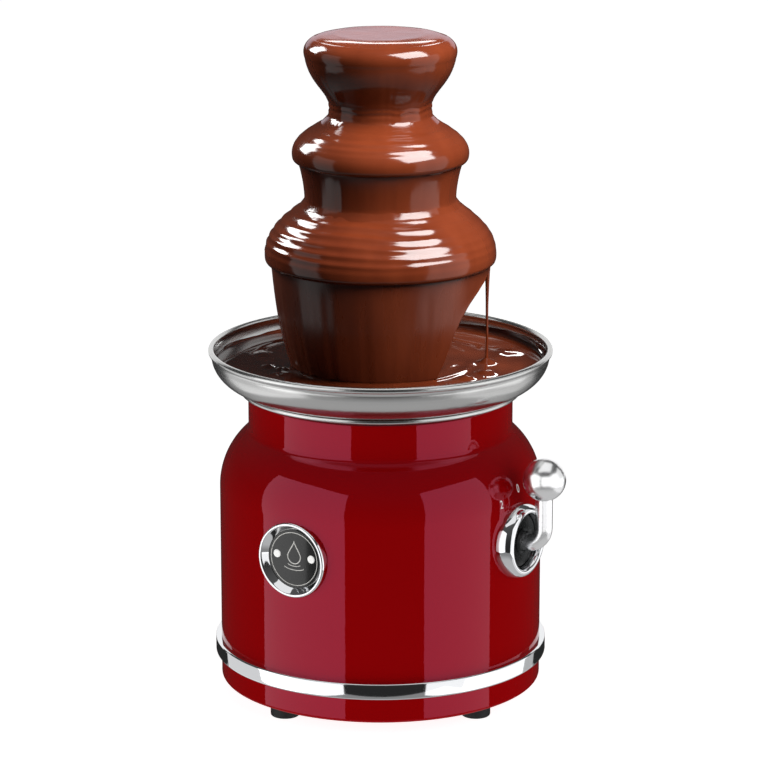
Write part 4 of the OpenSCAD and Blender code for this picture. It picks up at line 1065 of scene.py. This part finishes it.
class FOUNTAIN_OT_crown_flow(bpy.types.Operator):
    """Pour the chocolate over the crown: its round cap and the sheet that falls from it"""

    bl_idname = "fountain.crown_flow"
    bl_label = "Crown Chocolate"

    def execute(self, context):
        size = context.scene.fountain_chocolate
        radius, top, under, rows = size.crown / MM, CROWN_Z + CROWN_TALL - 0.2, CROWN_Z + 2, 40
        cap = bezier((24, top), (38, top + 0.4), (radius + 2.8, CROWN_Z + 6.6),
                     (radius - 0.2, CROWN_Z - 2.2), rows)
        end = Vector((radius - 13.8, MIDDLE_Z + MIDDLE_TALL + 5.5))
        fall = bezier(cap[-1], (radius - 3.1, CROWN_Z - 18.6), (radius - 15.6, CROWN_Z - 22.0), end, rows)
        fall += settle(end, middle_dome(size), 0.26)
        outer = [(0, top), (6, top), (12, top), (18, top)] + cap + fall[1:]
        inner = [fall[-1] + Vector((-1.2, -0.5))] + list(reversed(beside(fall[:rows + 1], 2.0)))
        bm = turn(outer + inner + [(radius - 8, under), (0, under)], 260, closed=False)

        def height(angle, r, z):
            if r < 40 and z > CROWN_Z + 9:
                # The flow wells up in the middle and spreads in low rings
                return (0.10 * sin(r * 0.55 + 1.2 * flow(angle, 0, 1.5, 0, 3.0)) * (1 - ease(26, 36, r))
                        + 0.14 * flow(angle, r, 2.0, 0.15, 12.0) * ease(4, 12, r) - 0.24)
            below = CROWN_Z - z
            settled = ease(end.y - 8, end.y - 3, z)
            folds = 0.22 * exp(-((z - end.y - 2.5) / 3.5) ** 2)
            folds *= sin(z * 1.7 + 2.0 * flow(angle, 0, 3.0, 0, 21.0))
            streaks = 0.30 * flow(angle, z, 3.0, 0.02, 17.0) + 0.14 * flow(angle, z, 11.0, 0.015, 19.0)
            return (folds + streaks * ease(3, 10, below)) * settled

        swell(bm, height)
        piece("crown_flow_chocolate", bm, "chocolate", stands_for=["chocolate_crown"], sharp=70)
        return {"FINISHED"}


class FOUNTAIN_OT_stage(bpy.types.Operator):
    """Lay the pale floor and set the studio's lights and camera"""

    bl_idname = "fountain.stage"
    bl_label = "Studio"

    def execute(self, context):
        scene, size = context.scene, context.scene.fountain_studio
        scene.view_settings.view_transform = "Standard"
        self.towards = Vector((sin(size.turn), -cos(size.turn), 0))
        self.right = Vector((cos(size.turn), sin(size.turn), 0))
        self.floor()
        self.world(scene)
        self.camera(scene, size)
        self.share_light(scene)
        # Strips are mirrored but light nothing, and unseen lamps light but are not mirrored
        strips = ("strip_left", "strip_right")
        unseen = ("softbox_top", "softbox_pool", "softbox_fill", "softbox_ground", "softbox_rear")
        soft, top, spark = size.softbox, size.top, size.sparkle
        # Name, turn, distance, height, panel's width and height, brightness, group that it lights, colour
        for name, *place in (
                ("softbox_left", -58, 4.0, 0.57, (5.2, 4.9), soft, "rest"),
                ("softbox_right", 57.5, 4.0, 0.57, (4.0, 4.9), soft * 0.9, "rest"),
                ("softbox_beside", 101, 4.0, 0.57, (2.5, 4.9), soft * 0.65, "metal"),
                ("softbox_over", 0, 0.05, 2.2, (2.6, 2.6), soft * 0.7, "metal"),
                ("softbox_under", 0, 0.05, -1.0, (4.4, 4.4), soft * 0.20, "metal"),
                ("panel_under_left", -95, 1.8, -0.55, (2.6, 1.6), soft * 0.6, "metal"),
                ("panel_under_right", 95, 1.8, -0.55, (2.6, 1.6), soft * 0.4, "metal"),
                ("softbox_behind", 180, 4.0, 0.9, (8.0, 3.4), soft * 0.8, "metal"),
                ("softbox_badge", -80, 4.0, 0.57, (2.214, 4.9), soft * 0.75, "badge"),
                ("softbox_lever", 6, 3.0, 0.45, (2.8, 3.0), soft * 0.95, "lever"),
                ("strip_left", -80, 2.5, 0.10, (1.5, 2.8), soft * 0.6, "flow"),
                ("strip_right", 72, 2.5, 0.10, (2.4, 2.8), soft * 0.8, "flow"),
                ("panel_crown", 180, 2.4, 0.80, (3.0, 0.7), size.back, "crown", (0.92, 0.87, 1.0)),
                ("lamp_crown", 180, 2.4, 1.75, (1.1, 0.50), spark * 0.3, "crown"),
                ("lamp_right", 57, 1.0, 1.30, (1.05, 1.05), spark * 0.85, "flow"),
                ("lamp_left", -124, 1.2, 0.92, (0.50, 0.70), spark * 0.8, "flow"),
                ("lamp_pool_right", 150, 2.2, 0.70, (0.36, 0.13), spark * 0.5, "pool"),
                ("lamp_pool_middle", 172, 2.2, 1.05, (0.36, 0.13), spark * 0.5, "pool"),
                ("lamp_pool_left", -152, 2.2, 0.62, (0.36, 0.13), spark * 0.5, "pool"),
                ("softbox_top", 30, 0.55, 1.7, (1.2, 1.2), top, "flow"),
                ("softbox_pool", 80, 1.1, 1.5, (1.2, 1.2), top * 5.0, "pool"),
                ("softbox_fill", 101, 4.0, 0.57, (2.5, 4.9), soft * 1.1, "rest"),
                ("softbox_ground", 0, 0.05, -1.0, (3.4, 3.4), soft * 0.7, "rest"),
                ("softbox_rear", 180, 4.0, 0.9, (5.0, 3.0), soft, "all")):
            lamp = self.softbox(name, *place)
            lamp.visible_diffuse, lamp.visible_glossy = name not in strips, name not in unseen
        return {"FINISHED"}

    def share_light(self, scene):
        """Groups the pieces, so that a lamp can be kept for some of them."""
        picked = {"lever": ("lever_arm", "lever_ball"), "crown": ("crown_flow_chocolate",),
                  "pool": ("pool_chocolate",), "badge": ("badge_face",)}
        self.groups = {name: bpy.data.collections.new("lit_" + name)
                       for name in ("flow", "rest", "all", "metal", *picked)}
        flowing, alone, shiny = ([FINISHES[name] for name in names] for names in (
            ("chocolate", "falling_chocolate_painted_shade"), ("still_chocolate_painted_light", "badge_black"),
            ("chrome", "steel_polished", "lever_chrome")))
        for obj in scene.objects:
            if obj.type != "MESH":
                continue
            finish = obj.data.materials[0]
            joined = [name for name, members in picked.items() if obj.name in members]
            if finish in flowing:
                joined.append("flow")
            elif finish not in alone:
                joined.append("rest")
            if finish in shiny:
                joined.append("metal")
            if obj.name != "floor":
                joined.append("all")
            for name in joined:
                self.groups[name].objects.link(obj)

    def floor(self):
        """A pale floor that neither shades the fountain nor is mirrored in it."""
        bm = bmesh.new()
        bmesh.ops.create_grid(bm, x_segments=1, y_segments=1, size=9.0)
        obj = new_object("floor", new_mesh("floor", bm))
        f = Finish("pale_floor")
        cloud = f.grain(2, 2)
        colour = f.mix(cloud, (0.80, 0.80, 0.80), (0.83, 0.83, 0.83))
        obj.data.materials.append(f.surface(Base_Color=colour, Roughness=0.6 + cloud * 0.05,
                                            Emission_Color=(1, 1, 1), Emission_Strength=0.9))
        obj.visible_glossy = obj.visible_shadow = obj.visible_diffuse = False

    def world(self, scene):
        """A room that is grey below, dark at eye level and a little lighter above."""
        scene.world = bpy.data.worlds.new("studio")
        nodes = Nodes(scene.world)
        sky = nodes.add("ShaderNodeTexCoord", out="Generated")
        height = nodes.add("ShaderNodeSeparateXYZ", None, {0: sky}, out="Z")
        half = nodes.add("ShaderNodeMapRange", None, {"Value": height, "From Min": -1.0})
        levels = [(0.0, 0.28), (0.14, 0.26), (0.24, 0.02), (0.56, 0.03), (0.72, 0.06), (1.0, 0.10)]
        light = nodes.add("ShaderNodeBackground", None, {"Color": nodes.steps(half, levels)})
        nodes.add("ShaderNodeOutputWorld", None, {"Surface": light})

    def camera(self, scene, size):
        """The camera, aimed at the fountain from its front right."""
        data = bpy.data.cameras.new("camera")
        data.lens, data.sensor_width, data.clip_end = size.lens, 36.0, 50.0
        obj = new_object("camera", data)
        aside = 2.04 * MM
        aim = Vector((0, 0, size.aim)) + self.right * aside
        offset = self.towards * cos(size.rise) + Vector((0, 0, sin(size.rise)))
        obj.location = aim + offset * size.distance
        obj.rotation_euler = (-offset).to_track_quat("-Z", "Y").to_euler()
        scene.camera = obj

    def softbox(self, name, turn_by, distance, height, spread, brightness, lights, colour=(1, 1, 1)):
        """An area lamp, turned right of the camera, that faces the fountain and lights one group."""
        angle = radians(turn_by)
        data = bpy.data.lights.new(name, "AREA")
        data.shape, (data.size, data.size_y) = "RECTANGLE", spread
        data.energy = brightness * pi * spread[0] * spread[1]
        obj = new_object(name, data)
        place = (self.towards * cos(angle) + self.right * sin(angle)) * distance
        obj.location = place + Vector((0, 0, height))
        # A far lamp looks level, a near one at the height of the lower tier's lip
        near, lip_height = 2, 0.25
        aim = Vector((0, 0, height if distance > near else lip_height))
        obj.rotation_euler = (aim - obj.location).to_track_quat("-Z", "Y").to_euler()
        data.color = colour
        obj.light_linking.receiver_collection = self.groups[lights]
        return obj


class FOUNTAIN_PT_panel(bpy.types.Panel):
    """Lists the fountain's pieces and their sizes"""

    bl_idname = "FOUNTAIN_PT_panel"
    bl_label = "Chocolate Fountain"
    bl_space_type = "VIEW_3D"
    bl_region_type = "UI"
    bl_category = "Fountain"

    def draw(self, context):
        for operator in OPERATORS:
            self.layout.operator(operator.bl_idname)
        for name, group in GROUPS.items():
            box = self.layout.box()
            for key in group.__annotations__:
                box.prop(getattr(context.scene, name), key)


OPERATORS = (FOUNTAIN_OT_solids, FOUNTAIN_OT_housing, FOUNTAIN_OT_band, FOUNTAIN_OT_feet,
             FOUNTAIN_OT_badge, FOUNTAIN_OT_dial, FOUNTAIN_OT_bowl, FOUNTAIN_OT_pool, FOUNTAIN_OT_lower_flow,
             FOUNTAIN_OT_middle_flow, FOUNTAIN_OT_crown_flow, FOUNTAIN_OT_stage)
CLASSES = (*GROUPS.values(), *OPERATORS, FOUNTAIN_PT_panel)


def register():
    for cls in CLASSES:
        bpy.utils.register_class(cls)
    for name, group in GROUPS.items():
        setattr(bpy.types.Scene, name, PointerProperty(type=group))


def unregister():
    for name in GROUPS:
        delattr(bpy.types.Scene, name)
    for cls in reversed(CLASSES):
        bpy.utils.unregister_class(cls)


def main():
    register()
    bpy.ops.fountain.solids()
    bpy.ops.fountain.housing()
    bpy.ops.fountain.band()
    bpy.ops.fountain.feet()
    bpy.ops.fountain.badge()
    bpy.ops.fountain.dial()
    bpy.ops.fountain.bowl()
    bpy.ops.fountain.pool()
    bpy.ops.fountain.lower_flow()
    bpy.ops.fountain.middle_flow()
    bpy.ops.fountain.crown_flow()
    bpy.ops.fountain.stage()


if __name__ == "__main__":
    main()
